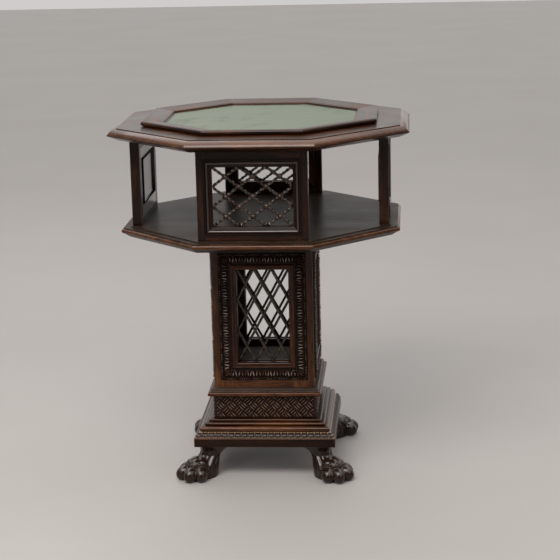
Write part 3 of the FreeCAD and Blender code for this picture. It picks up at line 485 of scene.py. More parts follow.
def solids_of(node):
    """The closed solids of a CAD node, each one merged by itself."""
    mesh = frame["nodes"][node].data
    unpaired = set()
    bm = bmesh.new()
    for polygon in mesh.polygons:
        spots = [mesh.vertices[index].co for index in polygon.vertices]
        bm.faces.new([bm.verts.new(spot) for spot in spots])
        keys = [tuple(round(value / WELD) for value in spot) for spot in spots]
        for first, second in zip(keys, keys[1:] + keys[:1]):
            if first != second:
                unpaired ^= {frozenset((first, second))}
        if not unpaired:
            bmesh.ops.remove_doubles(bm, verts=bm.verts, dist=WELD)
            yield bm
            bm = bmesh.new()
    if bm.faces:
        bmesh.ops.remove_doubles(bm, verts=bm.verts, dist=WELD)
        yield bm


def longest(verts, directions):
    def extent(direction):
        reach = [vert.co.dot(direction) for vert in verts]
        return max(reach) - min(reach)
    return max(directions, key=extent)


def is_round(face):
    """Whether a face lies on a roll: it is a narrow strip, and two of its edges bend outwards a little."""
    bends = [edge.calc_face_angle_signed(0) for edge in face.edges]
    width = face.calc_area() / max(edge.calc_length() for edge in face.edges)
    return width < NARROW and sum(GENTLE < bend < SHARP for bend in bends) > 1


def joinery(node, body, finish=WALNUT, rolls=WORN_AND_LIT, arrises=WORN_AND_LIT, directions=STRAIGHT):
    """A CAD node again, board by board, with a finish for its faces, its eased arrises and its rolls."""
    whole = bmesh.new()
    for number, solid in enumerate(solids_of(node)):
        bmesh.ops.dissolve_limit(solid, angle_limit=FLAT, verts=solid.verts, edges=solid.edges)
        for face in solid.faces:
            # Faces on a roll take the rolls finish, by default the lit copy that paints light on them
            face.material_index = 2 if is_round(face) else 0
        sharp = [e for e in solid.edges if len(e.link_faces) == 2 and e.calc_face_angle(0) > SHARP]
        made = bmesh.ops.bevel(
            solid, geom=sharp, offset=EASE, offset_type="OFFSET", segments=2, profile=0.5,
            affect="EDGES", clamp_overlap=True, material=-1,
        )
        for face in made["faces"]:
            face.material_index = 1
        first = append(whole, solid)
        lay_grain(whole, first, longest(verts_from(whole, first), directions), number + len(node))
        solid.free()
    piece = attach(node + "_eased", whole, body, SLOTS[node], (finish, arrises, rolls), (node,))
    soft = piece.modifiers.new("even_faces", "WEIGHTED_NORMAL")
    soft.keep_sharp = True


STAND_JOINERY = ["plinth_slab", "plinth_roll_moulding", "frieze_boards", "step_board", "pedestal_cap"]
STAND_JOINERY += ["pedestal_board_right", "pedestal_board_left"]
for side in SIDES:
    STAND_JOINERY += [f"pedestal_frame_{side}", f"sight_moulding_{side}", f"pedestal_bead_{side}"]
# Pedestal frames take the lighter, redder walnut: painted light, as the top's overhang shades the upper
# frames and not these
STAND_FINISHES = {f"pedestal_frame_{side}": LIT_RED_WALNUT for side in SIDES}
# The step board takes the pale grey walnut: painted light and sheen
STAND_FINISHES["step_board"] = PALE_LIT_WALNUT
STAND_FINISHES["plinth_slab"] = DARK_WALNUT
STAND_ROLLS = {f"sight_moulding_{side}": TABLE_WALNUT for side in SIDES}
# The step board's nose takes the lit red walnut too: painted light on the nose
STAND_ROLLS["step_board"] = LIT_RED_WALNUT
for node in STAND_JOINERY:
    joinery(node, STAND, STAND_FINISHES.get(node, WALNUT), STAND_ROLLS.get(node, WORN_AND_LIT))
for side in SIDES:
    joinery(f"panel_frame_{side}", TOP)
for side in SIDES:
    joinery(f"panel_moulding_{side}", TOP, finish=DARK_WALNUT, rolls=POLISHED, arrises=BOARD_WALNUT)
for side in ("front", "back"):
    joinery(f"panel_bead_{side}", TOP)
for side in ("right", "left"):
    joinery(f"panel_board_{side}", TOP, finish=BOARD_WALNUT)
# The shelf takes the greyed walnut: painted sheen
joinery("shelf_board", TOP, finish=SHEEN_GREY_WALNUT)
# The top's edge rolls take the brighter walnut: painted light on the lip
joinery("top_board", TOP, finish=TABLE_WALNUT, rolls=LIT_LIP_WALNUT)
joinery("raised_frame", TOP, finish=TABLE_WALNUT, rolls=WALNUT, directions=STRAIGHT + SLANTED)


# Linings inside the two solid panels: flush rails in place of the beads, and a raised bead round the field,
# dark with painted shade

lining_from, lining_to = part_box("panel_board_right")
LINING_BACK = lining_from.x
LINING_HALF = lining_to.y
LINING_LOW = lining_from.z
LINING_HIGH = lining_to.z
LINING_RISE = 2.2 * MM
STILE_WIDTH = 16.6 * MM
LOWER_RAIL = 26 * MM
UPPER_RAIL = 23.6 * MM
FIELD_HALF = LINING_HALF - STILE_WIDTH
FIELD_LOW = LINING_LOW + LOWER_RAIL
FIELD_HIGH = LINING_HIGH - UPPER_RAIL
BEAD_WIDTH = 6 * MM
BEAD_SLOPE = 1.2 * MM
BEAD_RISE = 4.5 * MM
BEAD_SHADE_FROM = 1.1 * LINING_RISE
LINING_ROWS = (
    (0, 0, 0), (0, 0, LINING_RISE), (1, 0, LINING_RISE), (1, BEAD_SLOPE, BEAD_RISE),
    (1, BEAD_WIDTH - BEAD_SLOPE, BEAD_RISE), (1, BEAD_WIDTH, 0), (0, 0, 0),
)
CORNERS = ((-1, 0), (1, 0), (1, 1), (-1, 1))


def panel_lining():
    """A ring for the front panel: its rows give the step to the bead, the way across it and the height."""

    def place(part, row):
        across, up = CORNERS[round(part * len(CORNERS)) % len(CORNERS)]
        inward, reach, height = LINING_ROWS[row]
        half = LINING_HALF + (FIELD_HALF - LINING_HALF) * inward - reach
        low = LINING_LOW + (FIELD_LOW - LINING_LOW) * inward + reach
        high = LINING_HIGH + (FIELD_HIGH - LINING_HIGH) * inward - reach
        return Vector((across * half, height - LINING_BACK, high if up else low))

    bm = run(len(CORNERS), len(LINING_ROWS) - 1, place)
    for face in bm.faces:
        # Faces standing proud of the rails, the bead's, take the near-black walnut: painted shade on the
        # bead
        if face.calc_center_median().y + LINING_BACK > BEAD_SHADE_FROM:
            face.material_index = 1
    lay_grain(bm, 0, RIGHT, seed=5)
    return bm


lining = panel_lining()
for turns, side in ((1, "right"), (3, "left")):
    turned = bmesh.new()
    append(turned, lining, quarter(turns))
    node = f"panel_bead_{side}"
    attach(node + "_lining", turned, TOP, SLOTS[node], (BOARD_WALNUT, SHADE_DARK_WALNUT), (node,), crease=5)
lining.free()


# Hidden hardware keeps its CAD mesh

for nodes, material in (
    (("foot_dowels", "panel_dowels"), BEECH),
    (("plinth_corner_blocks",), BARE_WALNUT),
    (("swivel_base_plate", "base_plate_screws", "swivel_spindle"), PLATE),
    (("swivel_top_plate", "top_plate_screws"), PLATE),
    (("thrust_washer",), BRASS),
):
    for node in nodes:
        for place in frame["nodes"][node].material_slots:
            place.material = material


# Carved borders of the pedestal frames: strokes and dots cut into mitred lengths of moulding

border_from, border_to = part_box("carved_border_front")
BORDER_WIDTH = 32 * MM
BORDER_INNER = border_to.x - BORDER_WIDTH
BORDER_LOW = border_from.z + BORDER_WIDTH
BORDER_HIGH = border_to.z - BORDER_WIDTH
BORDER_FACE = -border_to.y

# Section in mm: plain points are reach and height, carved bands start, end, height and rise
BORDER_EDGE = ((0, 0), (0, 2.8), (0.8, 3.6), (2.2, 3.8), (3.4, 3.3), (4.2, 1.2), (6, 0.7), (8.3, 0.9))
BORDER_RIDGE = (8.4, 25, 0.7, 5.2)
BORDER_DOTS = (26, 30.8, 0.8, 5)
BORDER_END = ((31, 1.4), (32, 1.4), (32, 0), (0, 0))

RIDGE_ROWS = 10
DOT_ROWS = 5
PLAIN_SHARE = 0.15
SWELL_POWER = 0.35
EDGE_WIDTH = 4 * MM
BORDER_PERIOD = 6.6 * MM
DOTS_PER_STROKE = 1.4
CORNER_LEAF = 7.5 * MM
CORNER_RIB = 4.2 * MM
STEPS_PER_STROKE = 7
STROKE_LEAN = 0.5
STROKE_HALF = 0.36
STROKE_UNEVEN = 0.12
UNEVEN_RATE = 7.3
BORDER_HOLLOW = 0.6 * MM
BORDER_CREST = 6.6 * MM


def stroke(along, across):
    """Height of one narrow leaf lobe; neighbours lean towards each other by turns."""
    cell = math.floor(along)
    lean = (STROKE_LEAN if cell % 2 else -STROKE_LEAN) * (across - 0.5)
    uneven = STROKE_UNEVEN * math.sin(UNEVEN_RATE * cell)
    offset = along - cell - 0.5 - lean - uneven
    return (1 - uneven) * max(0.0, 1 - (offset / STROKE_HALF) ** 2)


def border_section():
    """Rows of the section: reach across, plain height, carved height and kind of carving."""
    rows = [(reach, height, 0, None) for reach, height in BORDER_EDGE]
    for band, count, kind in ((BORDER_RIDGE, RIDGE_ROWS, "ridge"), (BORDER_DOTS, DOT_ROWS, "dots")):
        start, end, low, rise = band
        for row in range(count + 1):
            share = row / count
            swell = rise * math.sin(math.pi * share) ** SWELL_POWER
            reach = start + share * (end - start)
            rows.append((reach, low + PLAIN_SHARE * swell, (1 - PLAIN_SHARE) * swell, (kind, share)))
    return rows + [(reach, height, 0, None) for reach, height in BORDER_END]


def border_length(middle, along, outward, inner_length):
    """One mitred length of a carved border in the front plane."""
    outer = inner_length + 2 * BORDER_WIDTH
    strokes = round(outer / BORDER_PERIOD)
    section = border_section()

    def place(part, row):
        reach = (part - 0.5) * outer
        across, height, carved, carving = section[row]
        away = max(0.0, (outer / 2 - BORDER_WIDTH + across * MM - abs(reach)) / math.sqrt(2))
        if carving:
            kind, share = carving
            if kind == "ridge" and away < CORNER_LEAF:
                relief = 0.5 + 0.5 * math.cos(2 * math.pi * away / CORNER_RIB)
            elif kind == "ridge":
                relief = stroke(part * strokes, share)
            else:
                relief = stroke(part * strokes * DOTS_PER_STROKE, 0.5)
            height += carved * relief
        return middle + along * reach + outward * across * MM - BACK * height * MM

    bm = run(strokes * STEPS_PER_STROKE, len(section) - 1, place)
    for face in bm.faces:
        if (face.calc_center_median() - middle).dot(outward) < EDGE_WIDTH:
            face.material_index = 1
    for sense in (-1, 1):
        corner = middle + along * sense * outer / 2 + outward * BORDER_WIDTH
        cut(bm, corner, along * sense - outward)
    return bm


def carved_border():
    """The four lengths of the front border."""
    whole = bmesh.new()
    centre = (BORDER_LOW + BORDER_HIGH) / 2
    tall = BORDER_HIGH - BORDER_LOW
    for middle, along, outward, length in (
        (Vector((0, -BORDER_FACE, BORDER_LOW)), RIGHT, -UP, 2 * BORDER_INNER),
        (Vector((0, -BORDER_FACE, BORDER_HIGH)), RIGHT, UP, 2 * BORDER_INNER),
        (Vector((-BORDER_INNER, -BORDER_FACE, centre)), UP, -RIGHT, tall),
        (Vector((BORDER_INNER, -BORDER_FACE, centre)), UP, RIGHT, tall),
    ):
        part = border_length(middle, along, outward, length)
        lay_grain(whole, append(whole, part), along, seed=length * 100)
        part.free()
    bmesh.ops.recalc_face_normals(whole, faces=whole.faces)
    # Relief from height drives the painted shade in the low parts and the painted highlight on the crests
    lay_height(whole, BORDER_FACE, BORDER_HOLLOW, BORDER_CREST)
    return whole


border = carved_border()
for turns, side in enumerate(SIDES):
    turned = bmesh.new()
    append(turned, border, quarter(turns))
    node = f"carved_border_{side}"
    attach(node + "_leaves", turned, STAND, SLOTS[node], (CARVED, TABLE_WALNUT), (node,), crease=60)
border.free()


# Leaf moulding round the plinth: lobed leaves and darts cut into a quarter round

leaf_from, leaf_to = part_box("plinth_leaf_moulding")
LEAF_FACE = leaf_to.x
LEAF_LOW = leaf_from.z
LEAF_FOOT = 1.8 * MM
LEAF_SPREAD = 8.5 * MM
LEAF_RISE = leaf_to.z - LEAF_LOW - LEAF_FOOT
LEAF_BACK = 30 * MM
LEAF_PERIOD = 15 * MM
LEAF_SINK = 2.6 * MM
LEAF_SWELL = 0.5
LEAF_ROWS = 10
STEPS_PER_LEAF = 12
BLADE_HALF = 0.47
BLADE_MIDDLE = 0.4
BLADE_REACH = 0.56
VEIN_DEPTH = 0.6
VEIN_WIDTH = 0.07
LOBES = 3
LOBE_SLANT = 2.2
LOBE_DEPTH = 0.14
DART_FOOT = 0.06
DART_FLARE = 0.14
DART_HEIGHT = 0.85
DART_START = (0.15, 0.5)


def leaf(along, across):
    """Height of a lobed leaf with a dart between it and the next; across runs from its foot to its tip."""
    offset = along - math.floor(along) - 0.5
    spread = BLADE_HALF * math.sqrt(max(0.0, 1 - ((across - BLADE_MIDDLE) / BLADE_REACH) ** 2))
    blade = 0.0
    if abs(offset) < spread:
        lobe = math.cos(2 * math.pi * (LOBES * across + LOBE_SLANT * abs(offset)))
        blade = math.sqrt(1 - (offset / spread) ** 2)
        blade *= 1 - VEIN_DEPTH * math.exp(-((offset / VEIN_WIDTH) ** 2))
        blade *= 1 - LOBE_DEPTH + LOBE_DEPTH * lobe
    gap = 0.5 - abs(offset)
    dart = max(0.0, 1 - (gap / (DART_FOOT + DART_FLARE * across)) ** 2)
    return max(blade, DART_HEIGHT * dart * smoothstep(*DART_START, across))


def leaf_length():
    """One mitred length of the leaf moulding at the front of the plinth."""
    length = 2 * LEAF_FACE
    leaves = round(length / LEAF_PERIOD)
    last = LEAF_ROWS + 4

    def place(part, row):
        depth, level = 0.0, 0.0
        if row in (0, last):
            depth = LEAF_BACK
        elif row == last - 1:
            depth, level = LEAF_BACK, LEAF_FOOT + LEAF_RISE
        elif row > 1:
            share = (row - 2) / LEAF_ROWS
            angle = share * math.pi / 2
            swell = math.sin(math.pi * share) ** LEAF_SWELL
            sink = LEAF_SINK * swell * (1 - leaf(part * leaves, share))
            depth = LEAF_SPREAD * (1 - math.cos(angle)) + sink * math.cos(angle)
            level = LEAF_FOOT + LEAF_RISE * math.sin(angle) - sink * math.sin(angle)
        return Vector(((part - 0.5) * length, depth - LEAF_FACE, LEAF_LOW + level))

    bm = run(leaves * STEPS_PER_LEAF, last, place)
    for sense in (-1, 1):
        cut(bm, Vector((sense * LEAF_FACE, -LEAF_FACE, LEAF_LOW)), Vector((sense, 1, 0)))
    return bm


moulding = bmesh.new()
length = leaf_length()
for turns in range(len(SIDES)):
    lay_grain(moulding, append(moulding, length, quarter(turns)), STRAIGHT[turns % 2], seed=turns)
length.free()
bmesh.ops.recalc_face_normals(moulding, faces=moulding.faces)
# Relief from curvature drives the painted shade in the hollows and the painted highlight on the leaves
lay_relief(moulding, gain=5.0, passes=1)
node = "plinth_leaf_moulding"
attach("plinth_leaves", moulding, STAND, SLOTS[node], (LEAF_WALNUT,), (node,), crease=180)


# Basket weave on the frieze: blocks of three arched strands, turned by turns either way

frieze_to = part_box("frieze_boards")[1]
roll_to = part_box("plinth_roll_moulding")[1]
WEAVE_MARGIN = 6 * MM
WEAVE_FOOT = 1.7 * MM
WEAVE_HEAD = 1.5 * MM
WEAVE_FACE = frieze_to.x
WEAVE_HALF = WEAVE_FACE - WEAVE_MARGIN
WEAVE_LOW = roll_to.z + WEAVE_FOOT
WEAVE_HIGH = frieze_to.z - WEAVE_HEAD
BLOCK = 17.5 * MM
STRANDS = 3
STRAND = BLOCK / STRANDS
STRAND_RISE = 2.8 * MM
STRAND_SECTION = (
    (-0.45, 0.0), (-0.22, 0.72), (0.0, 1.0), (0.22, 0.72), (0.45, 0.0), (0.0, -0.2), (-0.45, 0.0),
)
STRAND_STEPS = 6
STRAND_REACH = 1.12
STRAND_END = 0.4
ARCH_POWER = 0.5
WEAVE_HOLLOW = 0.2 * STRAND_RISE
DIAGONAL_COVER = 1.5
SEED_STEP = 7


def strand(centre, along):
    """One arched strand, its ends going under the blocks beside it."""
    across = Vector((-along.z, 0, along.x))

    def place(part, row):
        side, height = STRAND_SECTION[row]
        reach = (part - 0.5) * BLOCK * STRAND_REACH
        arch = math.cos((part - 0.5) * math.pi) ** ARCH_POWER
        rise = STRAND_RISE * (STRAND_END + (1 - STRAND_END) * arch)
        return centre + along * reach + across * side * STRAND - BACK * height * rise

    return run(STRAND_STEPS, len(STRAND_SECTION) - 1, place)


def frieze_weave():
    """The weave of the front frieze board, cut straight at its four edges."""
    side = bmesh.new()
    rising = (RIGHT + UP).normalized()
    falling = (RIGHT - UP).normalized()
    middle = Vector((0, -WEAVE_FACE, (WEAVE_LOW + WEAVE_HIGH) / 2))
    reach = math.ceil(WEAVE_HALF * DIAGONAL_COVER / BLOCK)
    for first, second in product(range(-reach, reach + 1), repeat=2):
        spot = middle + (rising * first + falling * second) * BLOCK
        if abs(spot.x) > WEAVE_HALF + BLOCK or not WEAVE_LOW - BLOCK < spot.z < WEAVE_HIGH + BLOCK:
            continue
        along, across = (rising, falling) if (first + second) % 2 else (falling, rising)
        for number in range(STRANDS):
            part = strand(spot + across * (number - (STRANDS - 1) / 2) * STRAND, along)
            lay_grain(side, append(side, part), along, seed=first + SEED_STEP * second)
            part.free()
    for distance, away in ((WEAVE_HALF, RIGHT), (WEAVE_HALF, -RIGHT), (-WEAVE_LOW, -UP), (WEAVE_HIGH, UP)):
        cut(side, away * distance, away)
    # Relief from height drives the painted shade between the strands and the painted highlight on their
    # crests
    lay_height(side, WEAVE_FACE, WEAVE_HOLLOW, STRAND_RISE)
    return side


weave_side = frieze_weave()
weave = bmesh.new()
for turns in range(len(SIDES)):
    append(weave, weave_side, quarter(turns))
weave_side.free()
attach("frieze_weave", weave, STAND, SLOTS["frieze_boards"], (WOVEN,))


# Lion paws: leg, knuckles, toes and locks of fur joined into one skin

PAW_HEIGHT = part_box("paw_foot_front_left")[1].z
TOE_ROOT = 200

# Heading of each toe in degrees, and its reach in mm
TOES = ((-44, 45), (-15, 55), (15, 55), (44, 45))

# Sections of the leg in mm: height, centre, half length, half width, and the depth of its fur as a share
LEG_SECTIONS = (
    (-4, 200, 36, 28, 0.0), (8, 199, 36, 28.5, 0.05), (20, 197, 34.5, 28.5, 0.14), (31, 192, 31, 26.5, 0.2),
    (42, 185, 26, 23.5, 0.2), (50, 178, 24, 22, 0.14), (56, 173, 27, 25, 0.07), (62, 168, 32, 30, 0.02),
    (67, 163, 39, 37, 0.0), (77, 158, 48, 46, 0.0),
)

LEG_SEGMENTS = 90
LEG_LOCKS = 9
LOCK_MIDDLE = 0.6
PAW_VOXEL = 1.25 * MM
PAW_SMOOTHING = 2
TOE_TILT = 28

# Parts of a toe in mm: how far back from its tip, height, half sizes and tilt
TOE_BALLS = (
    (8, 16.5, (20, 15, 16), TOE_TILT),
    (19, 26, (3.2, 14.4, 15.5), TOE_TILT),
    (25, 29, (3.2, 14.4, 15.5), TOE_TILT),
    (29, 32, (16, 13.8, 15), TOE_TILT),
    (34, 15, (24, 12, 18), 0),
)


def ball(bm, centre, half, turn):
    """An egg shape given in mm."""
    shape = Matrix.Translation(mm(*centre)) @ turn @ Matrix.Diagonal((*mm(*half), 1))
    bmesh.ops.create_uvsphere(bm, u_segments=20, v_segments=14, radius=1, matrix=shape)


def leg(bm):
    """Lofted leg whose upright locks of fur swell and fade with its height."""
    rings = []
    for level, centre, half_length, half_width, fur in LEG_SECTIONS:
        ring = bmesh.ops.create_circle(bm, cap_ends=False, segments=LEG_SEGMENTS, radius=1)["verts"]
        for vert in ring:
            lock = abs(math.cos(LEG_LOCKS * math.atan2(vert.co.y, vert.co.x) / 2))
            swell = 1 + fur * (lock - LOCK_MIDDLE)
            vert.co = mm(centre + half_length * swell * vert.co.x, half_width * swell * vert.co.y, level)
        rings.append({edge for vert in ring for edge in vert.link_edges})
    for lower, upper in zip(rings, rings[1:]):
        bmesh.ops.bridge_loops(bm, edges=list(lower | upper))
    fill_holes(bm)


def toe(bm, angle, reach):
    """One toe: its pad, two thin bands, the knuckle, and the root in the leg."""
    heading = math.radians(angle)
    turn = Matrix.Rotation(heading, 4, "Z")
    for back, level, half, tilt in TOE_BALLS:
        out = reach - back
        centre = (TOE_ROOT + out * math.cos(heading), out * math.sin(heading), level)
        ball(bm, centre, half, turn @ Matrix.Rotation(math.radians(tilt), 4, "Y"))


def paw():
    """One paw that points along the x axis."""
    bm = bmesh.new()
    leg(bm)
    for angle, reach in TOES:
        toe(bm, angle, reach)
    mesh = bpy.data.meshes.new("paw_shells")
    bm.to_mesh(mesh)
    bm.free()
    shells = bpy.data.objects.new("paw_shells", mesh)
    bpy.context.scene.collection.objects.link(shells)
    skin = shells.modifiers.new("skin", "REMESH")
    skin.mode = "VOXEL"
    skin.voxel_size = PAW_VOXEL
    bpy.context.view_layer.update()
    joined = bpy.data.meshes.new_from_object(shells.evaluated_get(bpy.context.evaluated_depsgraph_get()))
    bpy.data.objects.remove(shells)
    bpy.data.meshes.remove(mesh)
    bm = bmesh.new()
    bm.from_mesh(joined)
    bpy.data.meshes.remove(joined)
    for _ in range(PAW_SMOOTHING):
        bmesh.ops.smooth_vert(
            bm, verts=bm.verts, factor=0.5, use_axis_x=True, use_axis_y=True, use_axis_z=True,
        )
    cut(bm, Vector((0, 0, 0)), -UP)
    cut(bm, UP * PAW_HEIGHT, UP)
    bm.normal_update()
    lay_grain(bm, 0, UP, seed=3)
    # Relief from curvature drives the painted shade in the creases and the painted highlight on the bulges
    lay_relief(bm, gain=3.2, passes=3)
    return bm


one_paw = paw()
for name, degrees in (("front_left", 225), ("front_right", 315), ("back_right", 45), ("back_left", 135)):
    turned = bmesh.new()
    append(turned, one_paw, Matrix.Rotation(math.radians(degrees), 4, "Z"))
    node = f"paw_foot_{name}"
    attach(node + "_carved", turned, STAND, SLOTS[node], (PAW,), (node,), crease=60)
one_paw.free()


# Twisted lattices of the upper panels: two diagonals and two closed loops that bend at the frame

moulding_from, moulding_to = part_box("panel_moulding_front")
lattice_from, lattice_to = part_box("panel_lattice_front")
MOULDING_WIDTH = 18 * MM
VIEW_HALF = moulding_to.x - MOULDING_WIDTH
VIEW_RISE = (moulding_to.z - moulding_from.z) / 2 - MOULDING_WIDTH
VIEW_MIDDLE = (moulding_from.z + moulding_to.z) / 2
LATTICE_PLANE = -(lattice_from.y + lattice_to.y) / 2
BAR_RADIUS = 3.3 * MM
BAR_LAYER = 1.5 * MM
BAR_STEP = 2.4 * MM
TWIST_PITCH = 42 * MM
SIDE_BEND = 5.5 * MM
WIDE_BEND = 12.5 * MM
BEND_STEPS = 6
LAYER_EASE = 4
BOSS_RADIUS = 6
BOSS_HEIGHT = 5
BOSS_DOME = 1.12
BOSS_FALL = 0.2
PETALS = 8
PETAL_DEPTH = 0.1

# Places of the bars' corners, in thirds of the way from the middle to the frame
GRID_HALF = 3
LOOPS = (((-3, -1), (1, 3), (3, 1), (-1, -3)), ((-3, 1), (1, -3), (3, -1), (-1, 3)))
DIAGONALS = (((-3, -3), (3, 3)), ((-3, 3), (3, -3)))


def lattice_spot(across, up):
    return Vector((across / GRID_HALF * VIEW_HALF, 0, up / GRID_HALF * VIEW_RISE))


def bar_points(corners, closed):
    """Points along a bar at even steps, with its corners rounded."""
    spots = [lattice_spot(*corner) for corner in corners]
    path = []
    for number, spot in enumerate(spots):
        if not closed:
            path.append(spot)
            continue
        before = (spots[number - 1] - spot).normalized()
        after = (spots[(number + 1) % len(spots)] - spot).normalized()
        half = before.angle(after) / 2
        bend = WIDE_BEND if abs(corners[number][1]) == GRID_HALF else SIDE_BEND
        setback = bend / math.tan(half)
        centre = spot + (before + after).normalized() * bend / math.sin(half)
        start = spot + before * setback - centre
        sweep = start.rotation_difference(spot + after * setback - centre)
        for part in range(BEND_STEPS + 1):
            turn = sweep.copy()
            turn.angle = sweep.angle * part / BEND_STEPS
            path.append(centre + turn @ start)
    if closed:
        path.append(path[0])
    points = []
    for first, second in zip(path, path[1:]):
        steps = max(1, round((second - first).length / BAR_STEP))
        points += [first.lerp(second, step / steps) for step in range(steps)]
    return points if closed else points + [path[-1]]


def layered(points, closed):
    """Falling bars lie in front of rising ones, easing from layer to layer round each bend."""
    count = len(points)
    slopes = []
    for number, spot in enumerate(points):
        step = points[(number + 1) % count] - spot
        if not closed and number + 1 == count:
            step = points[1] - points[0]
        slopes.append(1.0 if step.x * step.z < 0 else -1.0)
    result = []
    for number, spot in enumerate(points):
        near = [slopes[number]]
        if closed:
            near = [slopes[(number + shift) % count] for shift in range(-LAYER_EASE, LAYER_EASE)]
        result.append(spot - BACK * BAR_LAYER * sum(near) / len(near))
    return result


def twisted_bar(bm, corners, closed):
    """A square bar along its points, twisted evenly."""
    points = layered(bar_points(corners, closed), closed)
    curve = bpy.data.curves.new("bar", "CURVE")
    curve.dimensions = "3D"
    curve.bevel_depth = BAR_RADIUS
    curve.bevel_resolution = 0
    curve.use_fill_caps = True
    spline = curve.splines.new("POLY")
    spline.points.add(len(points) - 1)
    spline.use_cyclic_u = closed
    travelled = 0.0
    for number, spot in enumerate(points):
        travelled += (spot - points[number - 1]).length if number else 0.0
        spline.points[number].co = (*spot, 1)
        spline.points[number].tilt = 2 * math.pi * travelled / TWIST_PITCH
    holder = bpy.data.objects.new("bar", curve)
    bpy.context.scene.collection.objects.link(holder)
    bpy.context.view_layer.update()
    mesh = bpy.data.meshes.new_from_object(holder.evaluated_get(bpy.context.evaluated_depsgraph_get()))
    bpy.data.objects.remove(holder)
    bpy.data.curves.remove(curve)
    bm.from_mesh(mesh)
    bpy.data.meshes.remove(mesh)


def rosette(bm, centre):
    """A small eight-petalled boss, seen on both faces of the lattice."""
    made = bmesh.ops.create_uvsphere(bm, u_segments=24, v_segments=10, radius=1)["verts"]
    for vert in made:
        angle = math.atan2(vert.co.y, vert.co.x)
        rim = math.hypot(vert.co.x, vert.co.y)
        radius = BOSS_RADIUS * (1 + PETAL_DEPTH * math.cos(PETALS * angle) * rim)
        height = BOSS_HEIGHT * (BOSS_DOME - BOSS_FALL * rim)
        vert.co = centre + mm(radius * vert.co.x, height * vert.co.z, radius * vert.co.y)
    for face in {face for vert in made for face in vert.link_faces}:
        face.material_index = 1


def twisted_lattice():
    """Bars and bosses of one panel, about its middle."""
    bm = bmesh.new()
    for corners in LOOPS:
        twisted_bar(bm, corners, True)
    for corners in DIAGONALS:
        twisted_bar(bm, corners, False)
    for across, up in product(range(1 - GRID_HALF, GRID_HALF), repeat=2):
        if (across + up) % 2 == 0:
            rosette(bm, lattice_spot(across, up))
    bmesh.ops.recalc_face_normals(bm, faces=bm.faces)
    return bm


lattice = twisted_lattice()
for turns, side in ((0, "front"), (2, "back")):
    turned = bmesh.new()
    append(turned, lattice, quarter(turns) @ Matrix.Translation((0, -LATTICE_PLANE, VIEW_MIDDLE)))
    node = f"panel_lattice_{side}"
    attach(node + "_twisted", turned, TOP, SLOTS[node], (IRON, BOSS), (node,), crease=30)
lattice.free()


# Plain crossed rods of the pedestal

for side in ("front", "back"):
    node = f"pedestal_lattice_{side}"
    rods = bmesh.new()
    for solid in solids_of(node):
        append(rods, solid)
        solid.free()
    attach(node + "_rods", rods, STAND, SLOTS[node], (IRON,), (node,), crease=35)


# Floor board inside the pedestal, on two ledgers that stand on the step board

pedestal_from, pedestal_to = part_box("pedestal_frame_front")
FLOOR_BOARD_FIT = 0.1 * MM
FLOOR_BOARD_LEVEL = 42.9 * MM
FLOOR_BOARD_DEPTH = 8 * MM
FLOOR_BOARD_HALF = -pedestal_to.y - FLOOR_BOARD_FIT
FLOOR_BOARD_TOP = pedestal_from.z + FLOOR_BOARD_LEVEL
FLOOR_BOARD_UNDER = FLOOR_BOARD_TOP - FLOOR_BOARD_DEPTH
LEDGER_WIDTH = 16 * MM


def block(bm, low, high):
    """A box between two corners."""
    size = Vector(high) - Vector(low)
    shape = Matrix.Translation(Vector(low) + size / 2) @ Matrix.Diagonal((*size, 1))
    bmesh.ops.create_cube(bm, size=1, matrix=shape)


floor_boards = bmesh.new()
half = FLOOR_BOARD_HALF
block(floor_boards, (-half, -half, FLOOR_BOARD_UNDER), (half, half, FLOOR_BOARD_TOP))
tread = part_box("step_board")[1][2]
for inner, outer in ((LEDGER_WIDTH - half, -half), (half, half - LEDGER_WIDTH)):
    block(floor_boards, (outer, -half, tread), (inner, half, FLOOR_BOARD_UNDER))
# The board takes the pale finish: painted light inside the pedestal
attach("pedestal_floor", floor_boards, STAND, SLOTS["step_board"], (PALE_LIT_BOARD,))


# Green panel: an octagon of leather with soft creases

panel_from, panel_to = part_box("green_panel")
PANEL_APOTHEM = panel_to.x
PANEL_LOW = panel_from.z
PANEL_HIGH = panel_to.z
PANEL_CELLS = 150
STAIN_REACH = (45 * MM, 5 * MM)
STAIN_FROM = (0.05, 0.15)
RIPPLES = ((9, 0.2), (23, 0.1))
RIPPLE_SINK = 0.3
RIM_WIDTH = 8 * MM


def green_panel():
    """The leather: slightly uneven, level at its rim, with a mark for the stain along the back."""
    bm = bmesh.new()
    bmesh.ops.create_grid(bm, x_segments=PANEL_CELLS, y_segments=PANEL_CELLS, size=PANEL_APOTHEM)
    for turns in range(len(SIDES)):
        away = Matrix.Rotation(math.radians(45 + 90 * turns), 3, "Z") @ RIGHT
        slice_off(bm, away * PANEL_APOTHEM, away)
    rim = [edge for edge in bm.edges if edge.is_boundary]
    edge_layer = bm.verts.layers.float.new("edge")
    for vert in bm.verts:
        across = max(abs(vert.co.x), abs(vert.co.y), (abs(vert.co.x) + abs(vert.co.y)) / math.sqrt(2))
        inset = PANEL_APOTHEM - across
        vert[edge_layer] = smoothstep(*STAIN_REACH, inset) * smoothstep(*STAIN_FROM, vert.co.y)
        soft = sum(noise.noise(vert.co * scale) * rise for scale, rise in RIPPLES)
        vert.co.z = PANEL_HIGH + (soft - RIPPLE_SINK) * MM * smoothstep(0, RIM_WIDTH, inset)
    skirt = bmesh.ops.extrude_edge_only(bm, edges=rim)["geom"]
    for item in skirt:
        if isinstance(item, bmesh.types.BMVert):
            item.co.z = PANEL_LOW
    fill_holes(bm)
    bmesh.ops.recalc_face_normals(bm, faces=bm.faces)
    return bm


attach("green_panel_leather", green_panel(), TOP, SLOTS["green_panel"], (LEATHER,), ("green_panel",))


# Floor, light and camera

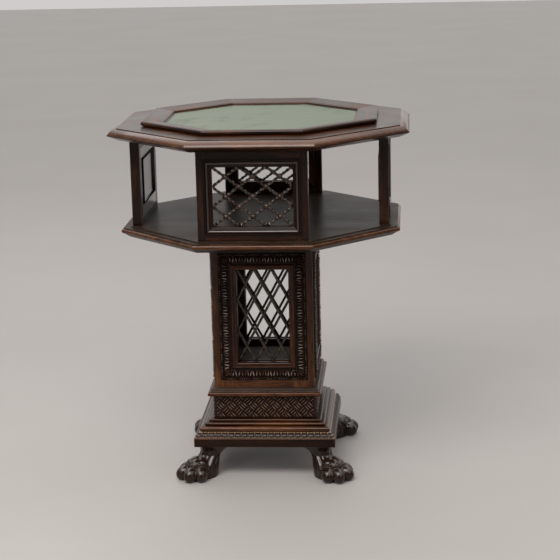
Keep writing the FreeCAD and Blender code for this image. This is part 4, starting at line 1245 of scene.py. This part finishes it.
FLOOR_SIZE = 14
FLOOR_TONES = ((0.4, 0.38, 0.365), (0.43, 0.41, 0.395))
FLOOR_ROUGHNESS = 0.6


def floor():
    bm = bmesh.new()
    bmesh.ops.create_grid(bm, x_segments=1, y_segments=1, size=FLOOR_SIZE)
    mesh = bpy.data.meshes.new("floor")
    bm.to_mesh(mesh)
    bm.free()
    look = Finish("floor")
    cloud = look.noise(look.place(), scale=1.5, detail=3)
    colour = look.ramp(cloud, *zip(CLOUDED, FLOOR_TONES))
    mesh.materials.append(look.surface(colour, FLOOR_ROUGHNESS))
    ground = bpy.data.objects.new("floor", mesh)
    bpy.context.scene.collection.objects.link(ground)
    return ground


def lamp(name, place, target, size, watts, tint):
    light = bpy.data.lights.new(name, "AREA")
    light.shape = "RECTANGLE"
    light.size, light.size_y = size
    light.energy = watts
    light.color = tint
    holder = bpy.data.objects.new(name, light)
    holder.location = place
    holder.rotation_euler = (Vector(target) - Vector(place)).to_track_quat("-Z", "Y").to_euler()
    holder.visible_camera = False
    bpy.context.scene.collection.objects.link(holder)
    return holder


# Strength of the sky: its axis, where the change starts and ends along it, and the strength at both
BRIGHT_BEHIND = ("Y", -0.2, 0.5, 0.02, 0.84)
BRIGHT_ABOVE = ("Z", 0.4, 0.95, 0.0, 3.5)
MATT_FILL = ("Z", -0.3, 0.9, 0.2, 0.62)
SEEN_STRENGTH = 0.62
SKY_TINT = (1.0, 0.975, 0.955, 1)


def backdrop():
    """Pale surroundings: bright behind the table, dim in front of it, with a plain fill for matt faces."""
    world = bpy.data.worlds.new("studio")
    world.use_nodes = True
    tree = world.node_tree
    sky = tree.nodes["Background"]
    path = tree.nodes.new("ShaderNodeLightPath")
    direction = tree.nodes.new("ShaderNodeTexCoord")
    split = tree.nodes.new("ShaderNodeSeparateXYZ")
    tree.links.new(direction.outputs["Generated"], split.inputs[0])

    def ease(axis, low, high, dim, bright):
        made = tree.nodes.new("ShaderNodeMapRange")
        made.interpolation_type = "SMOOTHSTEP"
        for number, value in enumerate((low, high, dim, bright), 1):
            made.inputs[number].default_value = value
        tree.links.new(split.outputs[axis], made.inputs[0])
        return made.outputs[0]

    behind = ease(*BRIGHT_BEHIND)
    above = ease(*BRIGHT_ABOVE)
    brightest = tree.nodes.new("ShaderNodeMath")
    brightest.operation = "MAXIMUM"
    tree.links.new(behind, brightest.inputs[0])
    tree.links.new(above, brightest.inputs[1])
    mirrored = brightest.outputs[0]
    spread = ease(*MATT_FILL)

    def choose(factor, first, second):
        made = tree.nodes.new("ShaderNodeMix")
        tree.links.new(factor, made.inputs[0])
        for source, target in ((first, made.inputs[2]), (second, made.inputs[3])):
            if isinstance(source, bpy.types.NodeSocket):
                tree.links.new(source, target)
            else:
                target.default_value = source
        return made.outputs[0]

    strength = choose(path.outputs["Is Glossy Ray"], spread, mirrored)
    strength = choose(path.outputs["Is Transmission Ray"], strength, mirrored)
    strength = choose(path.outputs["Is Camera Ray"], strength, SEEN_STRENGTH)
    sky.inputs["Color"].default_value = SKY_TINT
    tree.links.new(strength, sky.inputs["Strength"])
    bpy.context.scene.world = world


CAMERA_PLACE = (0.3304, -3.679, 1.3144)
CAMERA_TURN = 4.65
CAMERA_PITCH = 76.39
CAMERA_ROLL = -1.39
CAMERA_LENS = 107.07
SENSOR_WIDTH = 36


def camera():
    view = bpy.data.cameras.new("photo_view")
    view.sensor_fit = "HORIZONTAL"
    view.sensor_width = SENSOR_WIDTH
    view.lens = CAMERA_LENS
    holder = bpy.data.objects.new("photo_view", view)
    holder.matrix_world = (
        Matrix.Translation(CAMERA_PLACE)
        @ Matrix.Rotation(math.radians(CAMERA_TURN), 4, "Z")
        @ Matrix.Rotation(math.radians(CAMERA_PITCH), 4, "X")
        @ Matrix.Rotation(math.radians(CAMERA_ROLL), 4, "Z")
    )
    bpy.context.scene.collection.objects.link(holder)
    bpy.context.scene.camera = holder


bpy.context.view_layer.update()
floor()
lamp("key", (-0.6, -2.1, 3.0), (0, 0, 0.5), (2.2, 1.2), 80, (1.0, 0.96, 0.92))
lamp("strip", (-1.7, -3.0, 1.5), (0, 0, 0.4), (0.3, 1.1), 14, (1.0, 0.98, 0.95))
lamp("fill", (2.4, -2.0, 1.8), (0, 0, 0.4), (1.6, 1.6), 12, (0.95, 0.97, 1.0))
lamp("back", (-1.2, 2.2, 2.6), (0, 0, 0.6), (2.2, 1.4), 14, (0.98, 0.98, 1.0))
backdrop()
camera()
bpy.context.scene.view_settings.view_transform = "Standard"
